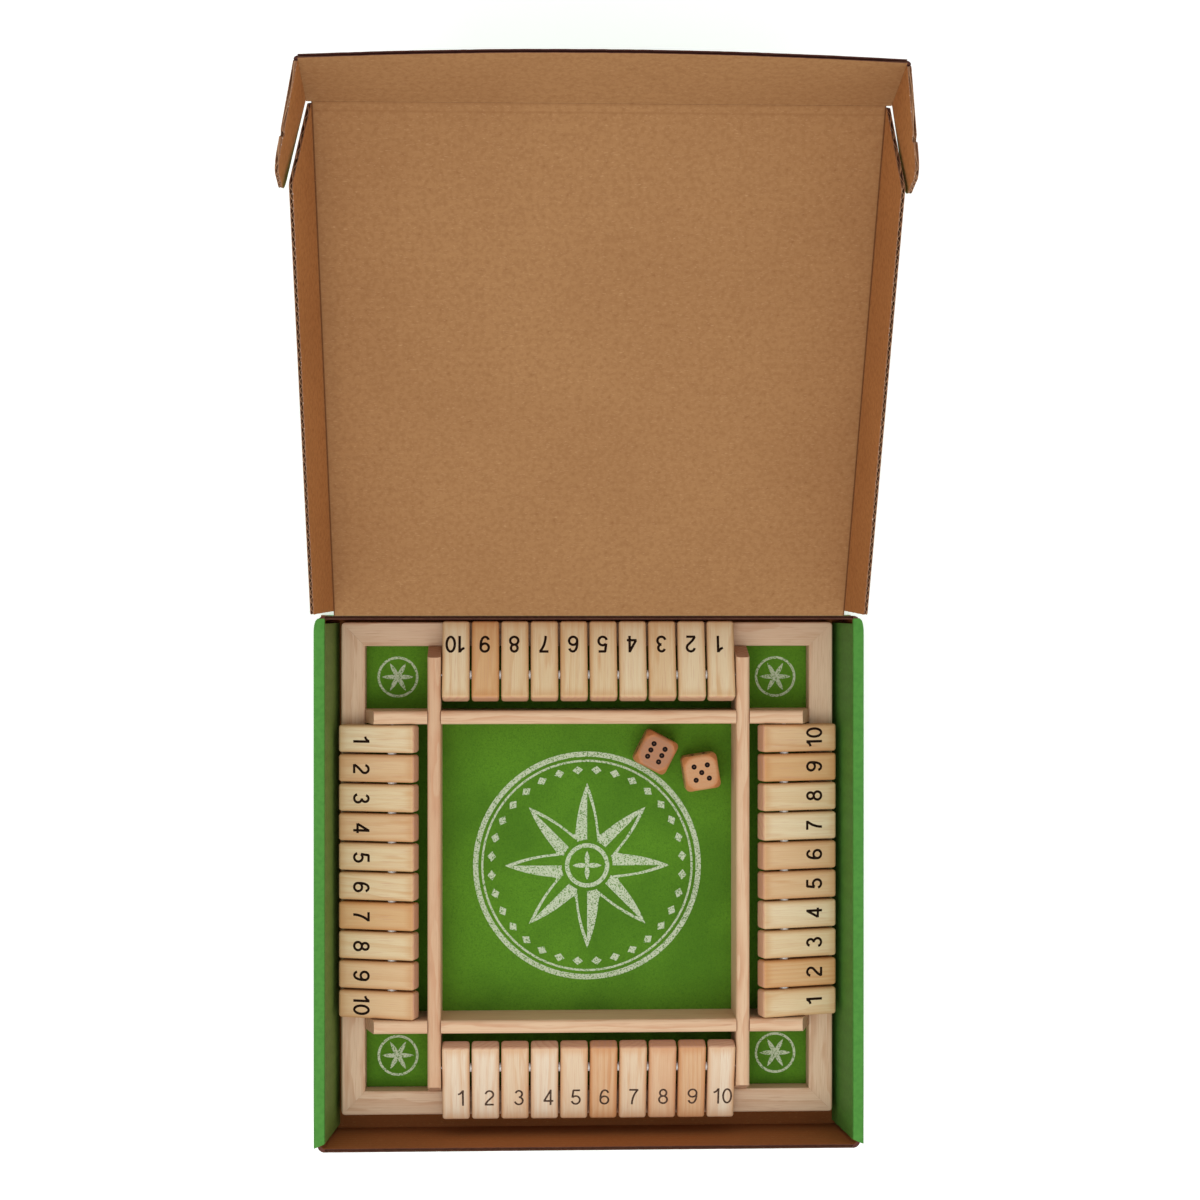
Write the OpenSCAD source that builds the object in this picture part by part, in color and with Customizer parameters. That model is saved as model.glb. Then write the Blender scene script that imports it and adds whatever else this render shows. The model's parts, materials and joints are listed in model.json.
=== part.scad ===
// Four-player shut the box game in its open corrugated mailer carton.
// Millimetres. X to the right, Y from the front wall to the lid's hinge, Z up.
// The origin is the centre of the carton's underside.

/* [Tiles] */
// Number of flip tiles on each of the four sides
tile_count = 10; // [6:1:10]
// Width of a tile along its rod
tile_w = 15.4; // [12:0.1:18]
// Length of a tile, from its number end to its inner end
tile_l = 45; // [38:0.5:50]
// Thickness of a tile
tile_t = 10; // [8:0.5:12]
// Radius of a tile's worn edges
tile_edge_r = 1.4; // [0.6:0.1:2]
// Distance from the rod to a tile's inner end
pivot_in = 14.5; // [11:0.5:17]

/* [Rods and washers] */
// Diameter of the steel rods
rod_d = 2; // [1.5:0.1:3]
// Height of a rod's axis above the felt
rod_rise = 25.5; // [24:0.5:28]
// Distance from a divider's outer face to the rod
rod_out = 20; // [19:0.5:22]
// Depth of a rod's seat in the dividers
rod_seat = 5.5; // [3:0.5:6]
// Radial clearance of a rod in its seats
seat_clear = 0.05; // [0.02:0.01:0.1]
// Radial clearance of the tiles and washers on their rod
bore_clear = 0.08; // [0.05:0.01:0.1]
// Thickness of a washer
washer_t = 1; // [0.6:0.1:1.5]
// Outer diameter of a washer
washer_d = 5; // [4:0.5:7]
// Play between a washer and each tile beside it
tile_play = 0.1; // [0.05:0.01:0.2]
// Gap between a row of tiles and the divider at its end
row_end = 0.6; // [0.3:0.1:1.5]

/* [Frame] */
// Clear width of the felt trough under each row of tiles
trough_w = 35.9; // [34.5:0.1:38]
// Width of a rail
rail_w = 13.6; // [12:0.1:18]
// Height of the rails above the felt
rail_rise = 12; // [9:0.5:15]
// Radius of the frame's outer corners, seen from above
frame_corner_r = 3; // [1:0.5:6]
// Radius of a rail's long top edges
rail_edge_r = 1.2; // [0.4:0.1:2]
// Glue line at each mitre
mitre_gap = 0.05; // [0.02:0.01:0.1]
// Thickness of the plywood base
base_t = 3; // [2:0.5:5]
// Width of the rebate that the base sits in
rebate_w = 6; // [4:0.5:9]
// Thickness of the felt
felt_t = 0.8; // [0.5:0.1:1.5]
// Gap round the base and the felt
fit_gap = 0.15; // [0.05:0.05:0.3]

/* [Dividers] */
// Thickness of a divider board
divider_t = 7.5; // [6:0.5:10]
// Height of the dividers above the felt
divider_rise = 32; // [30:0.5:36]
// Length of the sloped cut at each end of a divider
end_cut = 6; // [3:0.5:8]
// Radius of a divider's long top edges
divider_edge_r = 2.2; // [0.5:0.1:3]
// Clearance on each side of a half lap
lap_clear = 0.05; // [0.02:0.01:0.1]

/* [Dice] */
// Side of a die
die_w = 20; // [16:0.5:22]
// Radius of a die's edges
die_edge_r = 0.8; // [0.4:0.1:2]
// Radius of the ball that rounds a die's corners, as a share of its side
die_ball = 0.72; // [0.68:0.01:0.8]
// Diameter of a pip
pip_d = 3; // [2:0.1:4]
// Depth of a pip
pip_deep = 0.5; // [0.3:0.1:1]
// Place of the die that shows six, from the middle of the game
die_a_at = [38.6, 66]; // [-68:0.1:68]
// Turn of the die that shows six
die_a_turn = -27.3; // [-90:0.1:90]
// Place of the die that shows five, from the middle of the game
die_b_at = [64.4, 54.7]; // [-68:0.1:68]
// Turn of the die that shows five
die_b_turn = 9; // [-90:0.1:90]

/* [Carton] */
// Thickness of the corrugated board
board_t = 2; // [1.5:0.1:2.5]
// Outer height of the carton's walls
wall_h = 54; // [52:1:70]
// Gap between the furthest reach of the game and the front wall
front_gap = 9.65; // [9.25:0.05:20]
// Gap between the furthest reach of the game and the back wall
back_gap = 1.15; // [0.75:0.05:10]
// Gap between the ears of the shut lid and the upright side liners
liner_clear = 0.6; // [0.4:0.1:6]
// Gap between the layers of a rolled side wall
layer_gap = 0.1; // [0.05:0.05:0.3]
// Gap left along each crease
crease_gap = 0.05; // [0.02:0.01:0.1]
// Length of the dust flaps inside the side walls
dust_l = 60; // [30:5:90]
// Outer radius of the fold along the top of a side wall
roll_r = 1.6; // [0.5:0.1:1.9]
// How far the fold stops short of the front face, at its outer edge
roll_front = 2; // [0.5:0.5:4]
// How much further back the fold's inner front corner lies
roll_slant = 2.7; // [0:0.1:4]
// How far the fold stops short of the back face
roll_back = 1.5; // [0.5:0.5:4]
// Angle that the side liners lean inwards
liner_lean = 5.5; // [0:0.1:5.5]

/* [Lid] */
// Angle of the open lid above the horizontal
lid_rest = 30; // [10:1:60]
// Gap between the furthest reach of the game and each side flap of the shut lid
flap_clear = 0.65; // [0.5:0.05:1]
// Gap between the folded side flaps and ears of the shut lid
ear_clear = 0.5; // [0.3:0.1:0.5]
// Gap between the shut tuck flap and the front wall
tuck_clear = 0.3; // [0.2:0.1:1]
// Gap under the side flaps of the shut lid
flap_under = 2; // [1:0.5:5]
// Setback of a side flap's free corner at the hinge end
flap_near_cut = 27; // [10:1:40]
// Setback of a side flap's free corner at the tuck end
flap_far_cut = 24; // [15:1:40]
// Outward lean of the left side flap
flap_lean_left = 7; // [0:0.5:8]
// Outward lean of the right side flap
flap_lean_right = 2.5; // [0:0.5:8]
// Gap under the tuck flap of the shut lid
tuck_under = 1.5; // [1:0.5:5]
// How much longer the tuck flap is at its middle than at its ends
tuck_bow = 3; // [0:0.5:5]
// Bend of the tuck flap, from the plane of the lid
tuck_bend = 47; // [0:1:60]
// Length of an ear of the tuck flap
ear_l = 53; // [40:1:60]
// Taper of an ear's edge on the lid's side
ear_taper = 10; // [9:1:20]
// Outward lean of the left ear
ear_lean_left = 9.5; // [0:0.5:10]
// Outward lean of the right ear
ear_lean_right = 3.5; // [0:0.5:10]
// Depth of the locking notch in an ear
notch_deep = 4; // [2:0.5:6]

/* [Hidden] */
$fn = 48;
SIDES = ["front", "right", "back", "left"];
function tile_name(side, i) = str("tile_", SIDES[side], "_", i);

// How far a cutting tool runs past the face that it leaves
cut_past = 1;

// Plan of the game, measured from its own middle
tile_pitch = tile_w + washer_t + 2 * tile_play;
row_l = tile_count * tile_w + (tile_count - 1) * (washer_t + 2 * tile_play);
field_w = row_l + 2 * row_end;
divider_mid = field_w / 2 + divider_t / 2;
rod_at = field_w / 2 + divider_t + rod_out;
rail_in = field_w / 2 + divider_t + trough_w;
frame_w = 2 * (rail_in + rail_w);

// Heights
base_z = board_t;
felt_z = base_z + base_t;
felt_top = felt_z + felt_t;
rail_top = felt_top + rail_rise;
divider_top = felt_top + divider_rise;
lap_z = (felt_top + divider_top) / 2;
rod_z = felt_top + rod_rise;

// Tilt at which a tile's rounded outer end just rests on the rail
tile_out = tile_l - pivot_in;
rest_gap = 0.05;
end_reach = norm([tile_out - tile_edge_r, tile_t / 2 - tile_edge_r]);
end_angle = atan2(tile_t / 2 - tile_edge_r, tile_out - tile_edge_r);
tile_tilt = asin((rod_z - rail_top - rest_gap - tile_edge_r) / end_reach) - end_angle;

// What reaches furthest from the game's middle: the tilted tiles' ends or the frame
tile_reach = rod_at + end_reach * cos(tile_tilt - end_angle) + tile_edge_r;
game_reach = max(frame_w / 2, tile_reach);

// Folded flaps and ears of the shut lid, from the game outwards
lid_x = game_reach + flap_clear;
ear_x = lid_x + board_t + ear_clear;

// Carton, measured from its own middle
liner_x = ear_x + board_t + liner_clear;
carton_w = 2 * (liner_x + 3 * board_t + 2 * layer_gap);
carton_d = 2 * game_reach + front_gap + back_gap + 2 * board_t;
game_y = (front_gap - back_gap) / 2;
wall_z = board_t + crease_gap;
dust_x = carton_w / 2 - 2 * board_t - layer_gap;
dust_out = dust_x + board_t;
corner_r = dust_out - liner_x;
liner_gap = 0.2;
liner_axis_z = wall_h - board_t - liner_gap;

// Lid, in its own flat plane: Y from the hinge, Z towards its inner face
hinge_y = carton_d / 2;
hinge_z = wall_h + 2 * crease_gap;
lid_l = carton_d - 2 * board_t - tuck_clear;
flap_h = wall_h - board_t - flap_under;
flap_end = 3;
flap_far = 1;
flap_corner_r = 3;
tuck_l = wall_h - board_t - tuck_under;
tuck_steps = 16;
ear_far = 36;
ear_low = 1;
ear_step = 1;
ear_root = tuck_l - tuck_bow - ear_step;
ear_root_r = 2;
ear_fall = 0.12;
ear_tip_r = 9;
notch_r = 0.8;

// Pip spacings, as shares of the die's side: two to five sit on a square, six on two rows
pip_grid = 0.19 * die_w;
pip_row_x = 0.175 * die_w;
pip_row_y = 0.2 * die_w;

// Arc that fillets corner q, between its neighbours p and s, with radius r
function fillet_arc(p, q, s, r, steps = 6) =
    let (a = (p - q) / norm(p - q), b = (s - q) / norm(s - q),
         half = acos(a * b) / 2, bis = (a + b) / norm(a + b),
         mid = q + bis * r / sin(half),
         from = q + a * r / tan(half) - mid, to = q + b * r / tan(half) - mid,
         start = atan2(from[1], from[0]), raw = atan2(to[1], to[0]) - start,
         sweep = raw > 180 ? raw - 360 : raw < -180 ? raw + 360 : raw)
    [for (k = [0:steps]) mid + r * [cos(start + sweep * k / steps), sin(start + sweep * k / steps)]];

// Outline through corners given as [x, y, fillet radius]
function filleted(c) = [for (k = [0:len(c) - 1])
    let (n = len(c), p = c[(k + n - 1) % n], q = c[k], s = c[(k + 1) % n])
    each (q[2] > 0
        ? fillet_arc([p[0], p[1]], [q[0], q[1]], [s[0], s[1]], q[2])
        : [[q[0], q[1]]])];

// Rectangle about the origin with round corners
module rounded_rect(w, l, r) {
    square([w - 2 * r, l], center = true);
    square([w, l - 2 * r], center = true);
    for (x = [-1, 1]) for (y = [-1, 1])
        translate([x * (w / 2 - r), y * (l / 2 - r)]) circle(r);
}

// Block about the origin with all its edges rounded
module rounded_block(w, l, h, r) {
    intersection() {
        linear_extrude(h, center = true) rounded_rect(w, l, r);
        rotate([90, 0, 0]) linear_extrude(l, center = true) rounded_rect(w, h, r);
        rotate([0, 90, 0]) linear_extrude(w, center = true) rounded_rect(h, l, r);
    }
}

// Turns a piece of the front side to one of the four sides of the game
module on_side(side) {
    translate([0, game_y, 0]) rotate([0, 0, 90 * side]) children();
}

// ---- The wooden game ----

module tile(side, i) {
    color("burlywood") on_side(side)
        translate([(i - (tile_count + 1) / 2) * tile_pitch, -rod_at, rod_z])
        rotate([tile_tilt, 0, 0])
        difference() {
            translate([0, pivot_in - tile_l / 2, 0]) rounded_block(tile_w, tile_l, tile_t, tile_edge_r);
            rotate([0, 90, 0]) cylinder(r = rod_d / 2 + bore_clear, h = tile_w + 2 * cut_past, center = true);
        }
}

// One rail per side, mitred at its ends and rebated for the base
module rail() {
    half = frame_w / 2;
    gap = mitre_gap * sqrt(2) / 2;
    intersection() {
        linear_extrude(rail_top) intersection() {
            rounded_rect(frame_w, frame_w, frame_corner_r);
            polygon([[-half + gap, -half], [half - gap, -half],
                     [rail_in - gap, -rail_in], [-rail_in + gap, -rail_in]]);
        }
        rotate([90, 0, 90]) linear_extrude(frame_w, center = true) polygon(filleted([
            [-half, base_z, 0], [-rail_in - rebate_w, base_z, 0],
            [-rail_in - rebate_w, felt_z + rest_gap, 0], [-rail_in, felt_z + rest_gap, 0],
            [-rail_in, rail_top, rail_edge_r], [-half, rail_top, rail_edge_r]]));
    }
}

module frame_rails() {
    color("wheat") for (side = [0:3]) on_side(side) rail();
}

module base_board() {
    w = 2 * (rail_in + rebate_w - fit_gap);
    color("tan") translate([-w / 2, game_y - w / 2, base_z]) cube([w, w, base_t]);
}

module felt_sheet() {
    w = 2 * (rail_in - fit_gap);
    color("olivedrab") translate([-w / 2, game_y - w / 2, felt_z]) cube([w, w, felt_t]);
}

// Divider blank along X at the middle of the game: sloped ends and rounded top edges
module divider_blank() {
    half = rail_in - rest_gap;
    intersection() {
        rotate([90, 0, 0]) linear_extrude(divider_t, center = true) polygon([
            [-half, felt_top], [half, felt_top], [half, rail_top],
            [half - end_cut, divider_top], [-half + end_cut, divider_top], [-half, rail_top]]);
        rotate([90, 0, 90]) linear_extrude(2 * half, center = true) polygon(filleted([
            [-divider_t / 2, felt_top, 0], [divider_t / 2, felt_top, 0],
            [divider_t / 2, divider_top, divider_edge_r], [-divider_t / 2, divider_top, divider_edge_r]]));
    }
}

// Divider at the front side's place, halved with the two that it crosses
module divider(over) {
    slot_w = divider_t + 2 * lap_clear;
    slot_z = over ? felt_top - cut_past : lap_z - lap_clear / 2;
    slot_h = lap_clear / 2 + cut_past + (over ? lap_z - felt_top : divider_top - lap_z);
    difference() {
        translate([0, -divider_mid, 0]) divider_blank();
        for (x = [-1, 1]) translate([x * divider_mid - slot_w / 2, -divider_mid - divider_t, slot_z])
            cube([slot_w, 2 * divider_t, slot_h]);
        for (x = [-1, 1]) translate([x * rod_at, -field_w / 2, rod_z]) rotate([90, 0, 0])
            cylinder(r = rod_d / 2 + seat_clear, h = 2 * (rod_seat + rest_gap), center = true);
    }
}

module divider_front() { color("peru") on_side(0) divider(over = false); }
module divider_right() { color("peru") on_side(1) divider(over = true); }
module divider_back() { color("peru") on_side(2) divider(over = false); }
module divider_left() { color("peru") on_side(3) divider(over = true); }

module hinge_rods() {
    color("silver") for (side = [0:3]) on_side(side)
        translate([0, -rod_at, rod_z]) rotate([0, 90, 0])
        cylinder(d = rod_d, h = field_w + 2 * rod_seat, center = true);
}

module rod_washers() {
    color("whitesmoke") for (side = [0:3]) on_side(side)
        for (i = [1:tile_count - 1])
            translate([(i - tile_count / 2) * tile_pitch, -rod_at, rod_z]) rotate([0, 90, 0])
            difference() {
                cylinder(d = washer_d, h = washer_t, center = true);
                cylinder(r = rod_d / 2 + bore_clear, h = washer_t + 2 * cut_past, center = true);
            }
}

// ---- The dice ----

module pip(x, y) {
    translate([x, y, die_w / 2 - pip_deep]) cylinder(d = pip_d, h = pip_deep + cut_past);
}

// Pips of one face, on top of a die about the origin
module pips(n) {
    g = pip_grid;
    if (n % 2 == 1) pip(0, 0);
    if (n > 1 && n < 6) { pip(-g, g); pip(g, -g); }
    if (n == 4 || n == 5) { pip(-g, -g); pip(g, g); }
    if (n == 6) for (x = [-1, 1]) for (y = [-1:1]) pip(x * pip_row_x, y * pip_row_y);
}

// Die about the origin, six on top and five in front
module die() {
    color("sandybrown") difference() {
        intersection() {
            rounded_block(die_w, die_w, die_w, die_edge_r);
            sphere(r = die_w * die_ball);
        }
        pips(6);
        rotate([90, 0, 0]) pips(5);
        rotate([0, 90, 0]) pips(4);
        rotate([0, -90, 0]) pips(3);
        rotate([-90, 0, 0]) pips(2);
        rotate([180, 0, 0]) pips(1);
    }
}

module die_a() {
    translate([die_a_at[0], game_y + die_a_at[1], felt_top + die_w / 2])
        rotate([0, 0, die_a_turn]) die();
}

module die_b() {
    translate([die_b_at[0], game_y + die_b_at[1], felt_top + die_w / 2])
        rotate([0, 0, die_b_turn]) rotate([-90, 0, 0]) die();
}

// ---- The carton's lower half ----

// Plan of the fold along the top of the right side wall
module roll_plan() {
    front = -carton_d / 2 + roll_front;
    back = carton_d / 2 - roll_back;
    polygon([[liner_x, front + roll_slant], [carton_w / 2, front], [carton_w / 2, back], [liner_x, back]]);
}

// Rounded bend between a wall and its dust flap, cut away under the fold, at a right corner
module wall_bend(y) {
    difference() {
        translate([dust_out - corner_r, y * (carton_d / 2 - corner_r), wall_z])
            rotate([0, 0, y < 0 ? -90 : 0]) rotate_extrude(angle = 90)
            translate([corner_r - board_t, 0]) square([board_t, wall_h - wall_z]);
        for (d = [[-1, 0], [0, -1], [0, 1]])
            translate([d[0] * crease_gap, d[1] * crease_gap, wall_h - board_t - crease_gap])
            linear_extrude(board_t + crease_gap + cut_past) roll_plan();
    }
}

// Dust flap inside the right side wall, at its front or back end
module dust_flap(y) {
    root = carton_d / 2 - corner_r - crease_gap;
    translate([dust_x, y < 0 ? -root : root - dust_l, wall_z])
        cube([board_t, dust_l, wall_h - board_t - wall_z - crease_gap]);
}

// Right side wall: outer layer and the fold along its top
module rolled_side() {
    out = carton_w / 2;
    intersection() {
        rotate([90, 0, 0]) linear_extrude(carton_d, center = true) polygon(filleted([
            [out - board_t, wall_z, 0], [out, wall_z, 0], [out, wall_h, roll_r],
            [liner_x, wall_h, roll_r / 2], [liner_x, wall_h - board_t, 0],
            [out - board_t, wall_h - board_t, 0]]));
        linear_extrude(wall_h + cut_past) roll_plan();
    }
}

module carton_tray() {
    flat_w = 2 * (liner_x - crease_gap);
    color("burlywood") {
        translate([-carton_w / 2, -carton_d / 2, 0]) cube([carton_w, carton_d, board_t]);
        for (y = [-1, 1]) {
            translate([-flat_w / 2, y * (carton_d - board_t) / 2 - board_t / 2, wall_z])
                cube([flat_w, board_t, wall_h - wall_z]);
            for (x = [0, 1]) mirror([x, 0, 0]) {
                wall_bend(y);
                dust_flap(y);
            }
        }
    }
    color("forestgreen") for (x = [0, 1]) mirror([x, 0, 0]) rolled_side();
}

// Inner layer of the right side wall, hung from the fold and leaning inwards
module liner() {
    liner_l = carton_d - 2 * (corner_r + liner_gap);
    low = liner_axis_z - board_t - liner_gap;
    translate([liner_x + board_t / 2, 0, liner_axis_z]) rotate([0, liner_lean, 0])
        translate([-board_t / 2, -liner_l / 2, -low]) cube([board_t, liner_l, low]);
}

module liner_right() { color("darkgreen") liner(); }
module liner_left() { color("darkgreen") mirror([1, 0, 0]) liner(); }

// ---- The lid ----

// Puts a piece drawn in the flat lid's plane in its open place
module on_lid() {
    translate([0, hinge_y, hinge_z]) rotate([lid_rest, 0, 0]) children();
}

module lid_panel() {
    color("peru") on_lid() translate([-lid_x, 0, -board_t]) cube([2 * lid_x, lid_l, board_t]);
}

// Side flap on the right edge of the lid, leaning outwards
module side_flap(lean) {
    on_lid() translate([lid_x, 0, 0]) rotate([0, lean, 0])
        rotate([90, 0, 90]) linear_extrude(board_t) polygon(filleted([
            [flap_end, crease_gap, 0], [lid_l - flap_far, crease_gap, 0],
            [lid_l - flap_far_cut, flap_h, flap_corner_r],
            [flap_near_cut + flap_end, flap_h, flap_corner_r]]));
}

module lid_flap_right() { color("sienna") side_flap(flap_lean_right); }
module lid_flap_left() { color("sienna") mirror([1, 0, 0]) side_flap(flap_lean_left); }

// Puts a piece drawn on the flat tuck flap in its bent place
module on_tuck() {
    on_lid() translate([0, lid_l, 0]) rotate([tuck_bend, 0, 0]) children();
}

module tuck_flap() {
    color("peru") on_tuck() translate([0, 0, -board_t]) linear_extrude(board_t) polygon(concat(
        [[-ear_x, crease_gap], [ear_x, crease_gap]],
        [for (k = [0:tuck_steps]) let (u = 1 - 2 * k / tuck_steps)
            [ear_x * u, tuck_l - tuck_bow * u * u]]));
}

// Ear on the right end of the tuck flap, with a notch in its free edge
module ear(lean) {
    top = function (e) ear_root - ear_fall * e;
    on_tuck() translate([ear_x, 0, 0]) rotate([0, lean, 0])
        translate([board_t, 0, crease_gap]) rotate([0, -90, 0]) linear_extrude(board_t) polygon(filleted([
            [0, ear_low, 0], [0, ear_root, ear_root_r],
            [ear_far - notch_deep / 2, top(ear_far), notch_r], [ear_far, top(ear_far) - notch_deep, notch_r],
            [ear_far + notch_deep / 2, top(ear_far), notch_r], [ear_l, top(ear_l), ear_tip_r],
            [ear_l, ear_low + ear_l * tan(ear_taper), ear_tip_r]]));
}

module tuck_ear_right() { color("sienna") ear(ear_lean_right); }
module tuck_ear_left() { color("sienna") mirror([1, 0, 0]) ear(ear_lean_left); }

// ---- The pieces ----

carton_tray();
liner_left();
liner_right();
lid_panel();
lid_flap_left();
lid_flap_right();
tuck_flap();
tuck_ear_left();
tuck_ear_right();
frame_rails();
base_board();
felt_sheet();
divider_left();
divider_right();
divider_front();
divider_back();
hinge_rods();
rod_washers();
die_a();
die_b();
for (side = [0:3]) for (i = [1:tile_count])
    tile(side, i);
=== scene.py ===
"""Looks of a four-player shut the box game that lies in its open mailer carton.

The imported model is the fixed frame: every size and place below is measured from its nodes and
joints. Lengths are in metres, in the row frame: X to the right, Y towards the lid's hinge, Z up.
"""

from __future__ import annotations

import json
import logging
import math
import random
from dataclasses import dataclass, field
from enum import Enum

import bmesh
import bpy
from mathutils import Matrix, Vector

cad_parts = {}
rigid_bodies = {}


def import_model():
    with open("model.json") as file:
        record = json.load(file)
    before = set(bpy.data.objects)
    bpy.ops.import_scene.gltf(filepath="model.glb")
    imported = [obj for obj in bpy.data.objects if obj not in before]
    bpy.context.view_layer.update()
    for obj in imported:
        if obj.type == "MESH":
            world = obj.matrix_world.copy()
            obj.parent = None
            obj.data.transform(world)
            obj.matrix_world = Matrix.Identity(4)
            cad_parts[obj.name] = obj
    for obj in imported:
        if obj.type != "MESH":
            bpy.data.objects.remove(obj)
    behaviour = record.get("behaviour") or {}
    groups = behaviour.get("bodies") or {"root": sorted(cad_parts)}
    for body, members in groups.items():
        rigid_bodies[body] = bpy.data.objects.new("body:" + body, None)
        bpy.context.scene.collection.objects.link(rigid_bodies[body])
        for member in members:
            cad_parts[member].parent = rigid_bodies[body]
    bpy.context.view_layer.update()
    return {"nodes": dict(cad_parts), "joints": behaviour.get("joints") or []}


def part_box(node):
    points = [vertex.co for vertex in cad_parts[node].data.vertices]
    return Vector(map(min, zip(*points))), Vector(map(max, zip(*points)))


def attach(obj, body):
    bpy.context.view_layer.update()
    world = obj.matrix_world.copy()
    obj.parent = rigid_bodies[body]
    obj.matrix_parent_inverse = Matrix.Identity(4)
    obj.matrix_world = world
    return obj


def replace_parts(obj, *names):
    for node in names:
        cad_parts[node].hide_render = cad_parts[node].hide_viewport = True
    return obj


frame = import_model()

logging.basicConfig(level=logging.INFO, format="%(levelname)s %(message)s")
log = logging.getLogger("shut_the_box")

MM = 0.001
MERGE = 1e-6  # points closer than this are one
FLAT = 0.9995  # a face whose normal is this close to an axis is flat
FACING = 0.9  # a face whose normal is this close to an axis looks along it
RIGHTWARDS = Vector((1, 0, 0))
BACKWARDS = Vector((0, 1, 0))
UPWARDS = Vector((0, 0, 1))
ALONG_X = Matrix.Identity(3)
ALONG_Y = Matrix(((0, -1, 0), (1, 0, 0), (0, 0, 1)))
ALONG_LID = Vector((0, 0.87, 0.5)).normalized()
ABOVE_LID = Vector((0, -0.5, 0.87))

Colour = tuple[float, float, float, float]
Point2 = tuple[float, float]
Point3 = tuple[float, float, float]
Socket = bpy.types.NodeSocket
Material = bpy.types.Material
Mesh = bpy.types.Mesh
BMesh = bmesh.types.BMesh


def srgb(red: int, green: int, blue: int) -> Colour:
    """Turns a display colour into the linear colour that shaders use.

    Args:
        red: Red, 0 to 255.
        green: Green, 0 to 255.
        blue: Blue, 0 to 255.

    Returns:
        The linear colour, with full alpha.
    """
    parts = [c / 255 for c in (red, green, blue)]
    linear = [c / 12.92 if c <= 0.04045 else ((c + 0.055) / 1.055) ** 2.4 for c in parts]
    return (linear[0], linear[1], linear[2], 1.0)


class Side(Enum):
    """The four sides of the game, one per player."""

    FRONT = "front"
    RIGHT = "right"
    BACK = "back"
    LEFT = "left"


# ---------------------------------------------------------------- shader graphs


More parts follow.
